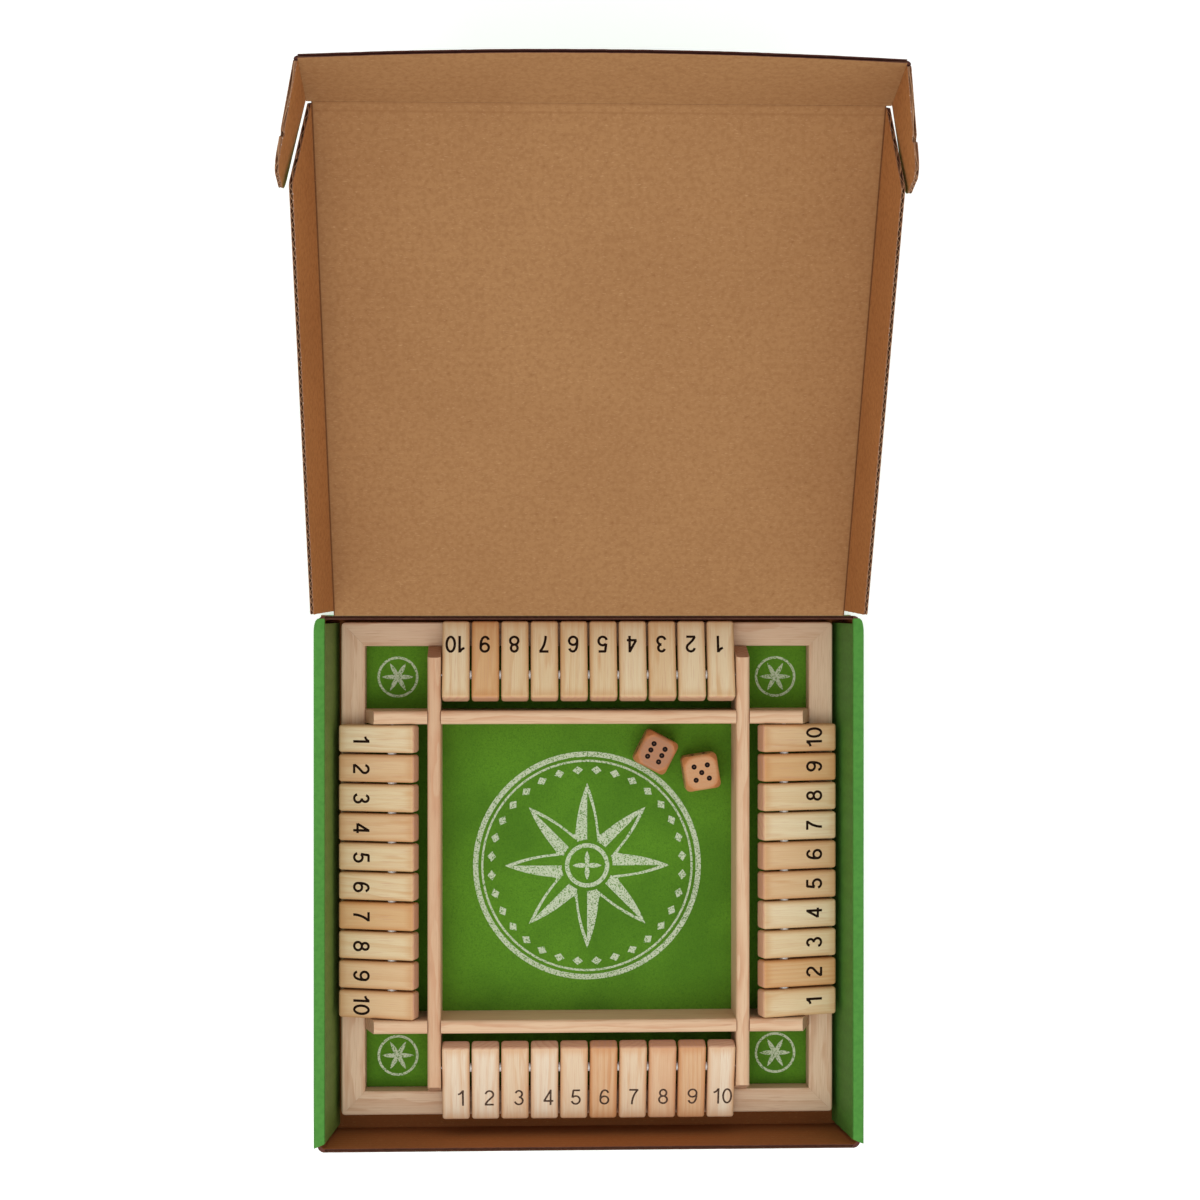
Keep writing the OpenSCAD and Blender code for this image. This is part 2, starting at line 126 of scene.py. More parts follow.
class Graph:
    """A material's node tree, with short calls for the nodes that the finishes use."""

    def __init__(self, name: str) -> None:
        """Starts a material with a bare Principled shader.

        Args:
            name: The material's name.
        """
        self.material = bpy.data.materials.new(name)
        self.material.use_nodes = True
        self.tree = self.material.node_tree
        self.shader = self.tree.nodes["Principled BSDF"]
        self.coords = self.tree.nodes.new("ShaderNodeTexCoord")

    def put(self, value: object, socket: Socket) -> None:
        """Links a socket, or sets a constant.

        Args:
            value: The socket or the constant.
            socket: The input that takes it.
        """
        if isinstance(value, Socket):
            self.tree.links.new(value, socket)
        else:
            socket.default_value = value

    def math(self, operation: str, a: object, b: object = None) -> Socket:
        """Adds a Math node.

        Args:
            operation: Blender's word for the operation.
            a: First socket or number.
            b: Second one, where the operation takes two.

        Returns:
            The result.
        """
        node = self.tree.nodes.new("ShaderNodeMath")
        node.operation = operation
        self.put(a, node.inputs[0])
        if b is not None:
            self.put(b, node.inputs[1])
        return node.outputs[0]

    def vector(self, operation: str, a: object, b: object = None, out: str = "Vector") -> Socket:
        """Adds a Vector Math node.

        Args:
            operation: Blender's word for the operation.
            a: First socket or vector.
            b: Second one, where the operation takes two.
            out: Name of the output that is wanted.

        Returns:
            That output.
        """
        node = self.tree.nodes.new("ShaderNodeVectorMath")
        node.operation = operation
        self.put(a, node.inputs[0])
        if b is not None:
            self.put(b, node.inputs[1])
        return node.outputs[out]

    def length(self, vector: Socket) -> Socket:
        """Length of a vector."""
        return self.vector("LENGTH", vector, out="Value")

    def dot(self, a: object, b: object) -> Socket:
        """Dot product of two vectors."""
        return self.vector("DOT_PRODUCT", a, b, out="Value")

    def split(self, vector: Socket) -> list[Socket]:
        """Splits a vector.

        Args:
            vector: The vector.

        Returns:
            Its X, Y and Z.
        """
        node = self.tree.nodes.new("ShaderNodeSeparateXYZ")
        self.put(vector, node.inputs[0])
        return list(node.outputs)

    def join(self, x: object, y: object) -> Socket:
        """Makes a flat vector.

        Args:
            x: Its X.
            y: Its Y.

        Returns:
            The vector, with a Z of nought.
        """
        node = self.tree.nodes.new("ShaderNodeCombineXYZ")
        self.put(x, node.inputs[0])
        self.put(y, node.inputs[1])
        return node.outputs[0]

    def local(self, centre: Vector, turn: Matrix) -> Socket:
        """Object coordinates seen from a piece's own centre and axes.

        Args:
            centre: The piece's centre.
            turn: The piece's axes, as the columns of a 3 by 3 matrix.

        Returns:
            The vector socket.
        """
        node = self.tree.nodes.new("ShaderNodeMapping")
        node.vector_type = "TEXTURE"
        node.inputs["Location"].default_value = centre
        node.inputs["Rotation"].default_value = turn.to_euler()
        self.put(self.coords.outputs["Object"], node.inputs["Vector"])
        return node.outputs[0]

    def noise(self, vector: object, scale: float, detail: float = 2.0, distort: float = 0.0) -> Socket:
        """Adds a noise texture.

        Args:
            vector: Where it is read.
            scale: Its scale, in the vector's units.
            detail: Its octaves.
            distort: How much it is stirred.

        Returns:
            Its value, 0 to 1.
        """
        node = self.tree.nodes.new("ShaderNodeTexNoise")
        self.put(vector, node.inputs["Vector"])
        node.inputs["Scale"].default_value = scale
        node.inputs["Detail"].default_value = detail
        node.inputs["Distortion"].default_value = distort
        return node.outputs["Fac"]

    def between(self, value: object, low: float, high: float, to_low: float = 0.0,
                to_high: float = 1.0) -> Socket:
        """Adds a smooth step.

        Args:
            value: The value that is read.
            low: Where the step starts.
            high: Where it ends.
            to_low: The result below the step.
            to_high: The result above it.

        Returns:
            The result.
        """
        node = self.tree.nodes.new("ShaderNodeMapRange")
        node.interpolation_type = "SMOOTHSTEP"
        for name, setting in (("Value", value), ("From Min", low), ("From Max", high),
                              ("To Min", to_low), ("To Max", to_high)):
            self.put(setting, node.inputs[name])
        return node.outputs[0]

    def mix(self, share: object, a: object, b: object) -> Socket:
        """Mixes two colours.

        Args:
            share: Share of the second one.
            a: First colour.
            b: Second colour.

        Returns:
            The mixed colour.
        """
        node = self.tree.nodes.new("ShaderNodeMix")
        node.data_type = "RGBA"
        self.put(share, node.inputs[0])
        self.put(a, node.inputs[6])
        self.put(b, node.inputs[7])
        return node.outputs[2]

    def tint(self, colour: object, other: Colour, mask: Socket, share: float) -> Socket:
        """Turns a colour towards another one where a mask holds.

        Args:
            colour: The colour.
            other: What it is turned towards.
            mask: Where, 0 to 1.
            share: How far at most.

        Returns:
            The turned colour.
        """
        return self.mix(self.math("MULTIPLY", mask, share), colour, other)

    def bump(self, height: Socket, distance: float) -> None:
        """Bends the shader's normal.

        Args:
            height: The relief.
            distance: How high a relief of one stands.
        """
        node = self.tree.nodes.new("ShaderNodeBump")
        node.inputs["Strength"].default_value = 1.0
        node.inputs["Distance"].default_value = distance
        self.put(height, node.inputs["Height"])
        self.put(node.outputs[0], self.shader.inputs["Normal"])

    def close(self, colour: object, roughness: float, **sockets: float) -> Material:
        """Sets what is left of the shader.

        Args:
            colour: The colour.
            roughness: The roughness.
            sockets: Other inputs by name, with underscores for spaces.

        Returns:
            The finished material.
        """
        self.put(colour, self.shader.inputs["Base Color"])
        self.shader.inputs["Roughness"].default_value = roughness
        for name, value in sockets.items():
            self.shader.inputs[name.replace("_", " ")].default_value = value
        return self.material


@dataclass(frozen=True)
class Pine:
    """Sanded pine, cut from a log whose heart lies to one side of the piece."""

    name: str
    centre: Vector
    turn: Matrix
    pale: Colour = srgb(226, 199, 158)
    late: Colour = srgb(196, 148, 96)
    end: Colour = srgb(176, 128, 98)
    heart: Point2 = (0.012, -0.035)
    ring: float = 3.2 * MM
    lines: float = 0.5
    wander: float = 5.0 * MM
    tilt: float = 0.0
    half: Point2 | None = None
    worn_end: float = 7.0 * MM
    worn_side: float = 3.4 * MM
    fibre_share: float = 0.26
    hair_share: float = 0.42
    stain_share: float = 0.4
    worn_share: float = 0.62
    roughness: float = 0.58

    def streaks(self, g: Graph, p: Socket, scales: Point2, seed: float, detail: float) -> Socket:
        """Noise that is drawn out along the grain.

        Args:
            g: The graph to build in.
            p: The piece's own coordinates.
            scales: Its scale along the grain and across it, per metre.
            seed: How far the piece's place shifts it.
            detail: Its octaves.

        Returns:
            Its value, 0 to 1.
        """
        drawn_out = g.vector("MULTIPLY", p, (scales[0], scales[1], scales[1]))
        return g.noise(g.vector("ADD", drawn_out, self.centre * seed), 1.0, detail)

    def late_wood(self, g: Graph, p: Socket) -> Socket:
        """Mask of the dark wood that ends each year's ring.

        Args:
            g: The graph to build in.
            p: The piece's own coordinates.

        Returns:
            The mask.
        """
        along, across, up = g.split(p)
        loose = g.math("SUBTRACT", self.streaks(g, p, (14.0, 60.0), 900.0, 3.0), 0.5)
        wander = g.math("ADD", g.math("MULTIPLY", loose, self.wander), g.math("MULTIPLY", along, self.tilt))
        from_heart = g.join(g.math("SUBTRACT", across, self.heart[0]), g.math("SUBTRACT", up, self.heart[1]))
        radius = g.math("ADD", g.length(from_heart), wander)
        phase = g.math("FRACT", g.math("DIVIDE", radius, self.ring))
        return g.math("MULTIPLY", g.between(phase, 0.35, 0.92), g.between(phase, 0.93, 1.0, 1.0, 0.0))

    def worn(self, g: Graph, p: Socket) -> Socket:
        """Mask of the edges that tumbling has burnished.

        Args:
            g: The graph to build in.
            p: The piece's own coordinates.

        Returns:
            The mask.
        """
        along, across = (g.math("ABSOLUTE", socket) for socket in g.split(p)[:2])
        near_end = g.between(along, self.half[0] - self.worn_end, self.half[0], 0.0, 0.9)
        near_side = g.between(across, self.half[1] - self.worn_side, self.half[1])
        return g.math("MAXIMUM", near_end, near_side)

    def material(self) -> Material:
        """Builds the finish.

        Returns:
            The material, with its grain along the first axis of turn.
        """
        g = Graph(self.name)
        p = g.local(self.centre, self.turn)
        late = self.late_wood(g, p)
        fibre = self.streaks(g, p, (30.0, 1500.0), 0.0, 3.0)
        clear = g.between(g.noise(p, 45.0, 2.0), 0.25, 0.7, 0.35, 1.0)
        colour = g.tint(self.pale, self.late, g.math("MULTIPLY", late, clear), self.lines)
        colour = g.tint(colour, self.late, g.between(fibre, 0.35, 0.75), self.fibre_share)
        hair = g.between(self.streaks(g, p, (70.0, 2600.0), 700.0, 1.0), 0.6, 0.72)
        colour = g.tint(colour, self.end, hair, self.hair_share)
        stain = g.between(self.streaks(g, p, (26.0, 210.0), 500.0, 2.0), 0.58, 0.74)
        colour = g.tint(colour, self.late, stain, self.stain_share)
        if self.half:
            colour = g.tint(colour, self.late, self.worn(g, p), self.worn_share)
        facing = g.math("ABSOLUTE", g.dot(g.coords.outputs["Normal"], self.turn.col[0]))
        end_share = g.math("ADD", 0.45, g.math("MULTIPLY", late, 0.4))
        colour = g.mix(g.math("MULTIPLY", g.between(facing, 0.45, 0.8), end_share), colour, self.end)
        g.bump(g.math("ADD", fibre, g.math("MULTIPLY", late, 0.6)), 0.06 * MM)
        return g.close(colour, self.roughness, Specular_IOR_Level=0.32)


@dataclass(frozen=True)
class BurnishedWood:
    """A tumbled wooden die: its corners are darker than its flat faces."""

    name: str
    centre: Vector
    turn: Matrix
    face: Colour
    corner: Colour = srgb(190, 118, 62)
    corner_from: float = 13.2 * MM
    corner_to: float = 14.5 * MM
    corner_share: float = 0.6
    heart: Point2 = (-0.018, -0.009)
    ring: float = 1.7 * MM
    wander: float = 3.0 * MM

    def material(self) -> Material:
        """Builds the finish.

        Returns:
            The material.
        """
        g = Graph(self.name)
        p = g.local(self.centre, self.turn)
        x, _, z = g.split(p)
        from_heart = g.join(g.math("SUBTRACT", x, self.heart[0]), g.math("SUBTRACT", z, self.heart[1]))
        wander = g.math("MULTIPLY", g.noise(p, 90.0, 3.0), self.wander)
        phase = g.math("FRACT", g.math("DIVIDE", g.math("ADD", g.length(from_heart), wander), self.ring))
        speck = g.noise(p, 1400.0, 2.0)
        colour = g.tint(self.face, self.corner, g.between(phase, 0.4, 0.95), 0.22)
        colour = g.tint(colour, self.corner, g.between(speck, 0.45, 0.7), 0.35)
        far = g.math("ADD", g.length(p), g.math("MULTIPLY", g.noise(p, 160.0), 0.5 * MM))
        edge = g.between(far, self.corner_from, self.corner_to)
        colour = g.tint(colour, self.corner, edge, self.corner_share)
        g.bump(speck, 0.03 * MM)
        return g.close(colour, 0.42, Specular_IOR_Level=0.4)


@dataclass(frozen=True)
class Paperboard:
    """The outer paper of corrugated board, raw kraft or printed, with its flutes showing faintly as painted
    shade.
    """

    name: str
    base: Colour
    dark: Colour
    pale: Colour
    flute_axis: Vector
    flecks: float = 0.5
    flute_pitch: float = 4.85 * MM
    flute_show: float = 0.05
    roughness: float = 0.8
    score_at: tuple[float, ...] = ()
    score_half: float = 0.9 * MM
    fold_x: float = 0.0
    fold_shade: float = 3.0 * MM
    fold_line: Point2 = (1.0 * MM, 0.35 * MM)
    # Colour of the painted shadow line beside a fold.
    fold: Colour = srgb(92, 52, 24)

    def scores(self, g: Graph, across: Socket, p: Socket) -> Socket:
        """Mask of the pressed score lines, which are darkened as painted shade in their grooves.

        Args:
            g: The graph to build in.
            across: The place across the flutes.
            p: Object coordinates.

        Returns:
            The mask.
        """
        out = 0.0
        wobble = g.math("MULTIPLY", g.math("SUBTRACT", g.noise(p, 60.0), 0.5), 0.8 * MM)
        for at in self.score_at:
            off = g.math("ABSOLUTE", g.math("ADD", g.math("SUBTRACT", across, at), wobble))
            out = g.math("MAXIMUM", out, g.between(off, 0.2 * MM, self.score_half, 1.0, 0.0))
        return out

    def darken_fold(self, g: Graph, colour: Socket, p: Socket) -> Socket:
        """Paints shade on the paper beside the folds on both sides, with a painted shadow line next to them.

        Args:
            g: The graph to build in.
            colour: The paper's colour.
            p: Object coordinates.

        Returns:
            The shaded colour.
        """
        x = g.math("ABSOLUTE", g.split(p)[0])
        near = g.between(x, self.fold_x - self.fold_shade, self.fold_x)
        line = g.between(x, self.fold_x - self.fold_line[0], self.fold_x - self.fold_line[1])
        return g.tint(g.tint(colour, self.dark, near, 0.25), self.fold, line, 0.85)

    def material(self) -> Material:
        """Builds the finish.

        Returns:
            The material.
        """
        g = Graph(self.name)
        p = g.coords.outputs["Object"]
        cloud = g.noise(p, 14.0, 4.0)
        mottle = g.noise(p, 420.0, 5.0)
        fibre = g.noise(g.vector("MULTIPLY", p, (500.0, 1500.0, 1500.0)), 1.0, 3.0, 0.6)
        across = g.dot(p, self.flute_axis)
        wave = g.math("SINE", g.math("MULTIPLY", across, math.tau / self.flute_pitch))
        colour = g.tint(self.base, self.dark, g.between(cloud, 0.3, 0.7), 0.2)
        colour = g.tint(colour, self.dark, g.between(mottle, 0.38, 0.66), 0.42)
        colour = g.tint(colour, self.pale, g.between(fibre, 0.55, 0.8), self.flecks)
        # Painted shade in the grooves of the pressed score lines.
        if self.score_at:
            colour = g.tint(colour, self.dark, self.scores(g, across, p), 0.35)
        # Painted shade beside the lid's folds.
        if self.fold_x:
            colour = self.darken_fold(g, colour, p)
        # Painted shade: the paper darkens over each flute wave, as if lit across its ridges.
        shade = g.math("ADD", 0.5, g.math("MULTIPLY", wave, 0.5))
        colour = g.tint(colour, self.dark, shade, self.flute_show)
        spot = g.noise(p, 420.0, 1.0)
        colour = g.tint(colour, self.dark, g.between(spot, 0.72, 0.8), self.flecks)
        height = g.math("ADD", g.math("MULTIPLY", wave, 0.5), g.math("MULTIPLY", fibre, 0.5))
        g.bump(height, 0.05 * MM)
        return g.close(colour, self.roughness, Specular_IOR_Level=0.2)


@dataclass(frozen=True)
class FeltPrint:
    """The pale print on the felt: a round medallion in the middle and a rosette in each corner."""

    middle: Point2
    corner_at: float
    medallion_r: float = 64.0 * MM
    rosette_r: float = 11.0 * MM
    points: int = 8
    point_curve: float = 1.6
    beads: int = 32
    bead_pitch: float = 8.6 * MM
    bead_half: float = 2.4 * MM

    def ring(self, g: Graph, radius: Socket, at: float, half: float) -> Socket:
        """Mask of a ring.

        Args:
            g: The graph to build in.
            radius: Distance from its middle.
            at: The ring's radius.
            half: Half its width.

        Returns:
            The mask.
        """
        return g.math("LESS_THAN", g.math("ABSOLUTE", g.math("SUBTRACT", radius, at)), half)

    def sector(self, g: Graph, angle: Socket, count: int) -> Socket:
        """How far an angle is through its own sector, from 0 to 1.

        Args:
            g: The graph to build in.
            angle: The angle.
            count: Sectors in a turn.

        Returns:
            The share of the sector.
        """
        return g.math("FRACT", g.math("DIVIDE", g.math("MULTIPLY", angle, float(count)), math.tau))

    def star(self, g: Graph, at: tuple[Socket, Socket], points: int, inner: float, outer: float) -> Socket:
        """Mask of a star.

        Args:
            g: The graph to build in.
            at: Radius and angle.
            points: How many points it has.
            inner: Radius between its points.
            outer: Radius at their tips.

        Returns:
            The mask.
        """
        radius, angle = at
        off = g.math("ABSOLUTE", g.math("SUBTRACT", self.sector(g, angle, points), 0.5))
        tooth = g.math("POWER", g.math("MULTIPLY", off, 2.0), self.point_curve)
        edge = g.math("ADD", inner, g.math("MULTIPLY", tooth, outer - inner))
        return g.math("LESS_THAN", radius, edge)

    def polar(self, g: Graph, x: Socket, y: Socket) -> tuple[Socket, Socket]:
        """Radius and angle of a point."""
        return g.length(g.join(x, y)), g.math("ARCTAN2", y, x)

    def medallion(self, g: Graph, x: Socket, y: Socket) -> list[Socket]:
        """Masks of the print in the middle.

        Args:
            g: The graph to build in.
            x: Place to the right of the middle.
            y: Place behind it.

        Returns:
            The masks of its rings, beads and stars.
        """
        radius, angle = at = self.polar(g, x, y)
        full = self.medallion_r
        bead_off = g.math("ABSOLUTE", g.math("SUBTRACT", self.sector(g, angle, self.beads), 0.5))
        ring_off = g.math("ABSOLUTE", g.math("SUBTRACT", radius, 0.86 * full))
        off = g.math("ADD", g.math("MULTIPLY", bead_off, self.bead_pitch), ring_off)
        star = self.star(g, at, self.points, 0.3 * full, 0.74 * full)
        inside = self.star(g, at, self.points, 0.25 * full, 0.66 * full)
        past_hub = g.math("GREATER_THAN", radius, 0.23 * full)
        left_half = g.math("LESS_THAN", self.sector(g, angle, self.points), 0.5)
        return [
            self.ring(g, radius, full, 1.5 * MM),
            self.ring(g, radius, 0.94 * full, 0.6 * MM),
            g.math("LESS_THAN", off, self.bead_half),
            g.math("MAXIMUM", g.math("SUBTRACT", star, inside), 0.0),
            g.math("MULTIPLY", g.math("MULTIPLY", star, past_hub), left_half),
            self.ring(g, radius, 0.18 * full, 1.2 * MM),
            self.star(g, at, 4, 1.2 * MM, 0.13 * full),
        ]

    def mask(self, g: Graph, p: Socket) -> Socket:
        """Mask of the whole print.

        Args:
            g: The graph to build in.
            p: Object coordinates.

        Returns:
            A value that is 1 where the felt is printed.
        """
        x, y = (g.math("SUBTRACT", socket, middle) for socket, middle in zip(g.split(p), self.middle))
        masks = self.medallion(g, x, y)
        x, y = (g.math("SUBTRACT", g.math("ABSOLUTE", socket), self.corner_at) for socket in (x, y))
        corner = self.polar(g, x, y)
        masks.append(self.ring(g, corner[0], self.rosette_r, 0.7 * MM))
        masks.append(self.star(g, corner, 6, 0.22 * self.rosette_r, 0.82 * self.rosette_r))
        out = masks[0]
        for mask in masks[1:]:
            out = g.math("MAXIMUM", out, mask)
        return out


@dataclass(frozen=True)
class Felt:
    """Pressed green felt with a worn pale print."""

    name: str
    print_: FeltPrint
    green: Colour = srgb(92, 142, 34)
    deep: Colour = srgb(56, 98, 18)
    ink: Colour = srgb(214, 222, 196)

    def material(self) -> Material:
        """Builds the finish.

        Returns:
            The material.
        """
        g = Graph(self.name)
        p = g.coords.outputs["Object"]
        cloud = g.noise(p, 22.0, 3.0)
        fuzz = g.noise(p, 1100.0, 4.0, 1.5)
        colour = g.tint(self.green, self.deep, g.between(cloud, 0.35, 0.7), 0.45)
        colour = g.tint(colour, self.deep, g.between(fuzz, 0.4, 0.7), 0.55)
        worn = g.between(g.noise(p, 1500.0, 3.0), 0.36, 0.5)
        colour = g.tint(colour, self.ink, g.math("MULTIPLY", self.print_.mask(g, p), worn), 0.82)
        g.bump(fuzz, 0.25 * MM)
        return g.close(colour, 0.95, Sheen_Weight=0.25, Specular_IOR_Level=0.1)


@dataclass(frozen=True)
class Plain:
    """A small part's finish: one colour, broken up by a fine unevenness."""

    name: str
    base: Colour
    dark: Colour
    roughness: float = 0.5
    metallic: float = 0.0
    transmission: float = 0.0
    specular: float = 0.5
    scale: float = 900.0

    def material(self) -> Material:
        """Builds the finish.

        Returns:
            The material.
        """
        g = Graph(self.name)
        uneven = g.noise(g.coords.outputs["Object"], self.scale, 3.0)
        colour = g.mix(g.between(uneven, 0.35, 0.7), self.base, self.dark)
        g.bump(uneven, 0.01 * MM)
        return g.close(colour, self.roughness, Metallic=self.metallic, Transmission_Weight=self.transmission,
                       Specular_IOR_Level=self.specular)


# ---------------------------------------------------------------- reading the frame


@dataclass
class Facet:
    """One flat face of a CAD solid."""

    centre: Vector
    normal: Vector
    area: float
    corners: list[Vector]


@dataclass
class Solid:
    """One closed solid of a CAD node, as a merged copy of its mesh."""

    mesh: BMesh

    def facets(self) -> list[Facet]:
        """Finds the solid's flat faces.

        Returns:
            The faces, largest first.
        """
        flat = self.mesh.copy()
        bmesh.ops.dissolve_limit(flat, angle_limit=math.radians(0.4), verts=flat.verts, edges=flat.edges)
        found = [Facet(f.calc_center_median(), f.normal.copy(), f.calc_area(), [v.co.copy() for v in f.verts])
                 for f in flat.faces]
        flat.free()
        return sorted(found, key=lambda f: -f.area)

    def is_slab(self) -> bool:
        """Tests for a flat panel.

        Returns:
            True where two large faces, back to back, are most of the solid's skin.
        """
        facets = self.facets()
        total = sum(f.area for f in facets)
        first, second = facets[:2]
        return first.area + second.area > 0.9 * total and first.normal.dot(second.normal) < -0.99


def joint_of(child: str) -> dict[str, object]:
    """The frame's joint that moves a body."""
    return next(joint for joint in frame["joints"] if joint["child"] == child)


def middle_of(node: str) -> Vector:
    """The middle of a node's box."""
    low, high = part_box(node)
    return (low + high) / 2


def axes_of(x: Vector, z: Vector) -> Matrix:
    """Three axes of which two are given, as the columns of a 3 by 3 matrix."""
    return Matrix((x, z.cross(x), z)).transposed()


def place_at(middle: Vector, axes: Matrix) -> Matrix:
    """The place with a given middle and axes."""
    return Matrix.Translation(middle) @ axes.to_4x4()


def cut_across(bm: BMesh, at: Vector, normal: Vector) -> None:
    """Adds edges to a mesh wherever a plane crosses it.

    Args:
        bm: The mesh.
        at: A point of the plane.
        normal: The plane's normal.
    """
    everything = bm.verts[:] + bm.edges[:] + bm.faces[:]
    bmesh.ops.bisect_plane(bm, geom=everything, plane_co=at, plane_no=normal, dist=MERGE)


def finished(name: str, bm: BMesh, *materials: Material) -> Mesh:
    """Turns a working mesh into a finished one, and frees it.

    Args:
        name: The finished mesh's name.
        bm: The working mesh.
        materials: Its finishes, as its faces number them.

    Returns:
        The finished mesh.
    """
    mesh = bpy.data.meshes.new(name)
    bm.to_mesh(mesh)
    bm.free()
    for material in materials:
        mesh.materials.append(material)
    return mesh


def solids_of(node: str) -> list[Solid]:
    """Splits a CAD node into its solids.

    Args:
        node: The node's name.

    Returns:
        One merged copy per solid. The node's own mesh is left alone.
    """
    whole = bmesh.new()
    whole.from_mesh(frame["nodes"][node].data)
    bmesh.ops.remove_doubles(whole, verts=whole.verts, dist=MERGE)
    whole.verts.ensure_lookup_table()
    group: dict[int, int] = {}
    for vert in whole.verts:
        if vert.index in group:
            continue
        mark, stack = len(set(group.values())), [vert]
        while stack:
            v = stack.pop()
            if v.index in group:
                continue
            group[v.index] = mark
            stack.extend(e.other_vert(v) for e in v.link_edges)
    out = []
    for mark in sorted(set(group.values())):
        part = whole.copy()
        part.verts.ensure_lookup_table()
        bmesh.ops.delete(part, geom=[v for v in part.verts if group[v.index] != mark], context="VERTS")
        part.normal_update()
        out.append(Solid(part))
    whole.free()
    return out


def tumbled(node: str, place: Matrix, half: Point3, radius: float, steps: int = 4) -> Mesh:
    """A rounder copy of a wooden block, whose edges and corners are worn as by tumbling.

    Args:
        node: The block's CAD node.
        place: The block's middle and axes.
        half: Half the block's size along each axis.
        radius: Radius of the worn edges.
        steps: Cuts across half of a worn edge.

    Returns:
        The copy's mesh, in place, with its bores and pips as they were.
    """
    bm = solids_of(node)[0].mesh
    bm.transform(place.inverted())
    core = [h - radius for h in half]
    for inner, normal in zip(core, (RIGHTWARDS, BACKWARDS, UPWARDS)):
        for k in range(steps):
            at = inner + radius * math.tan(math.radians(45 * k / steps))
            for way in (-1, 1):
                cut_across(bm, normal * at * way, normal)
    for v in bm.verts:
        inner = Vector([max(-c, min(c, x)) for x, c in zip(v.co, core)])
        away = v.co - inner
        if away.length > radius:
            v.co = inner + away.normalized() * radius
    bm.normal_update()
    for f in bm.faces:
        f.smooth = max(abs(c) for c in f.normal) < FLAT
    bm.transform(place)
    return finished(node, bm)


def dress(node: str, material: Material) -> None:
    """Gives a CAD node a finish.

    Args:
        node: The node's name.
        material: Its finish.
    """
    thing = frame["nodes"][node]
    thing.data.materials.clear()
    thing.data.materials.append(material)
    log.info("dressed %s", node)


def linked(name: str, data: bpy.types.ID) -> bpy.types.Object:
    """Makes an object and links it to the scene.

    Args:
        name: The object's name.
        data: Its mesh, light or camera.

    Returns:
        The object.
    """
    thing = bpy.data.objects.new(name, data)
    bpy.context.scene.collection.objects.link(thing)
    return thing


def add_piece(name: str, mesh: Mesh, body: str,
              material: Material | None = None) -> bpy.types.Object:
    """Adds a piece of the visual model.

    Args:
        name: The piece's name.
        mesh: Its mesh, in place.
        body: The CAD body that it rides on.
        material: Its finish, or None where the mesh has its own.

    Returns:
        The new object.
    """
    piece = linked(name, mesh)
    if material is not None:
        mesh.materials.clear()
        mesh.materials.append(material)
    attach(piece, body)
    log.info("added %s on %s, %d faces", name, body, len(mesh.polygons))
    return piece


def evaluated_mesh(thing: bpy.types.Object) -> Mesh:
    """Applies an object's modifiers, and removes the object.

    Args:
        thing: A temporary object.

    Returns:
        Its finished mesh.
    """
    bpy.context.view_layer.update()
    graph = bpy.context.evaluated_depsgraph_get()
    mesh = bpy.data.meshes.new_from_object(thing.evaluated_get(graph), depsgraph=graph)
    bpy.data.objects.remove(thing)
    return mesh


# ---------------------------------------------------------------- geometry nodes


class Tree:
    """A Geometry Nodes tree, with named inputs for its sizes."""

    def __init__(self, name: str, inputs: dict[str, float]) -> None:
        """Starts a tree.

        Args:
            name: The tree's name.
            inputs: Each float input's name and value.
        """
        self.group = bpy.data.node_groups.new(name, "GeometryNodeTree")
        face = self.group.interface
        face.new_socket("Geometry", in_out="INPUT", socket_type="NodeSocketGeometry")
        face.new_socket("Geometry", in_out="OUTPUT", socket_type="NodeSocketGeometry")
        self.values = inputs
        self.sockets: dict[str, str] = {}
        for word in inputs:
            socket = face.new_socket(word, in_out="INPUT", socket_type="NodeSocketFloat")
            self.sockets[word] = socket.identifier
        self.entry = self.add("NodeGroupInput")
        self.exit = self.add("NodeGroupOutput")

    def add(self, kind: str, **settings: object) -> bpy.types.Node:
        """Adds a node.

        Args:
            kind: Blender's word for the node.
            settings: Its settings.

        Returns:
            The node.
        """
        node = self.group.nodes.new(kind)
        for name, value in settings.items():
            setattr(node, name, value)
        return node

    def link(self, out: Socket, socket: Socket) -> None:
        """Links two sockets."""
        self.group.links.new(out, socket)

    def math(self, operation: str, a: Socket, b: Socket | float | None = None) -> Socket:
        """Adds a Math node.

        Args:
            operation: Blender's word for the operation.
            a: First socket.
            b: Second socket or number, where the operation takes two.

        Returns:
            The result.
        """
        node = self.add("ShaderNodeMath", operation=operation)
        self.link(a, node.inputs[0])
        if isinstance(b, Socket):
            self.link(b, node.inputs[1])
        elif b is not None:
            node.inputs[1].default_value = b
        return node.outputs[0]

    def end(self, geometry: Socket, material: Material) -> None:
        """Closes the tree with Realize Instances and Set Material.

        Args:
            geometry: What the tree has made.
            material: Its finish.
        """
        real = self.add("GeometryNodeRealizeInstances")
        paint = self.add("GeometryNodeSetMaterial")
        paint.inputs["Material"].default_value = material
        self.link(geometry, real.inputs[0])
        self.link(real.outputs[0], paint.inputs[0])
        self.link(paint.outputs[0], self.exit.inputs[0])

    def run(self, thing: bpy.types.Object) -> None:
        """Puts the tree on an object as a modifier, with its inputs set.

        Args:
            thing: The object.
        """
        modifier = thing.modifiers.new("shape", "NODES")
        modifier.node_group = self.group
        for name, socket in self.sockets.items():
            modifier[socket] = self.values[name]


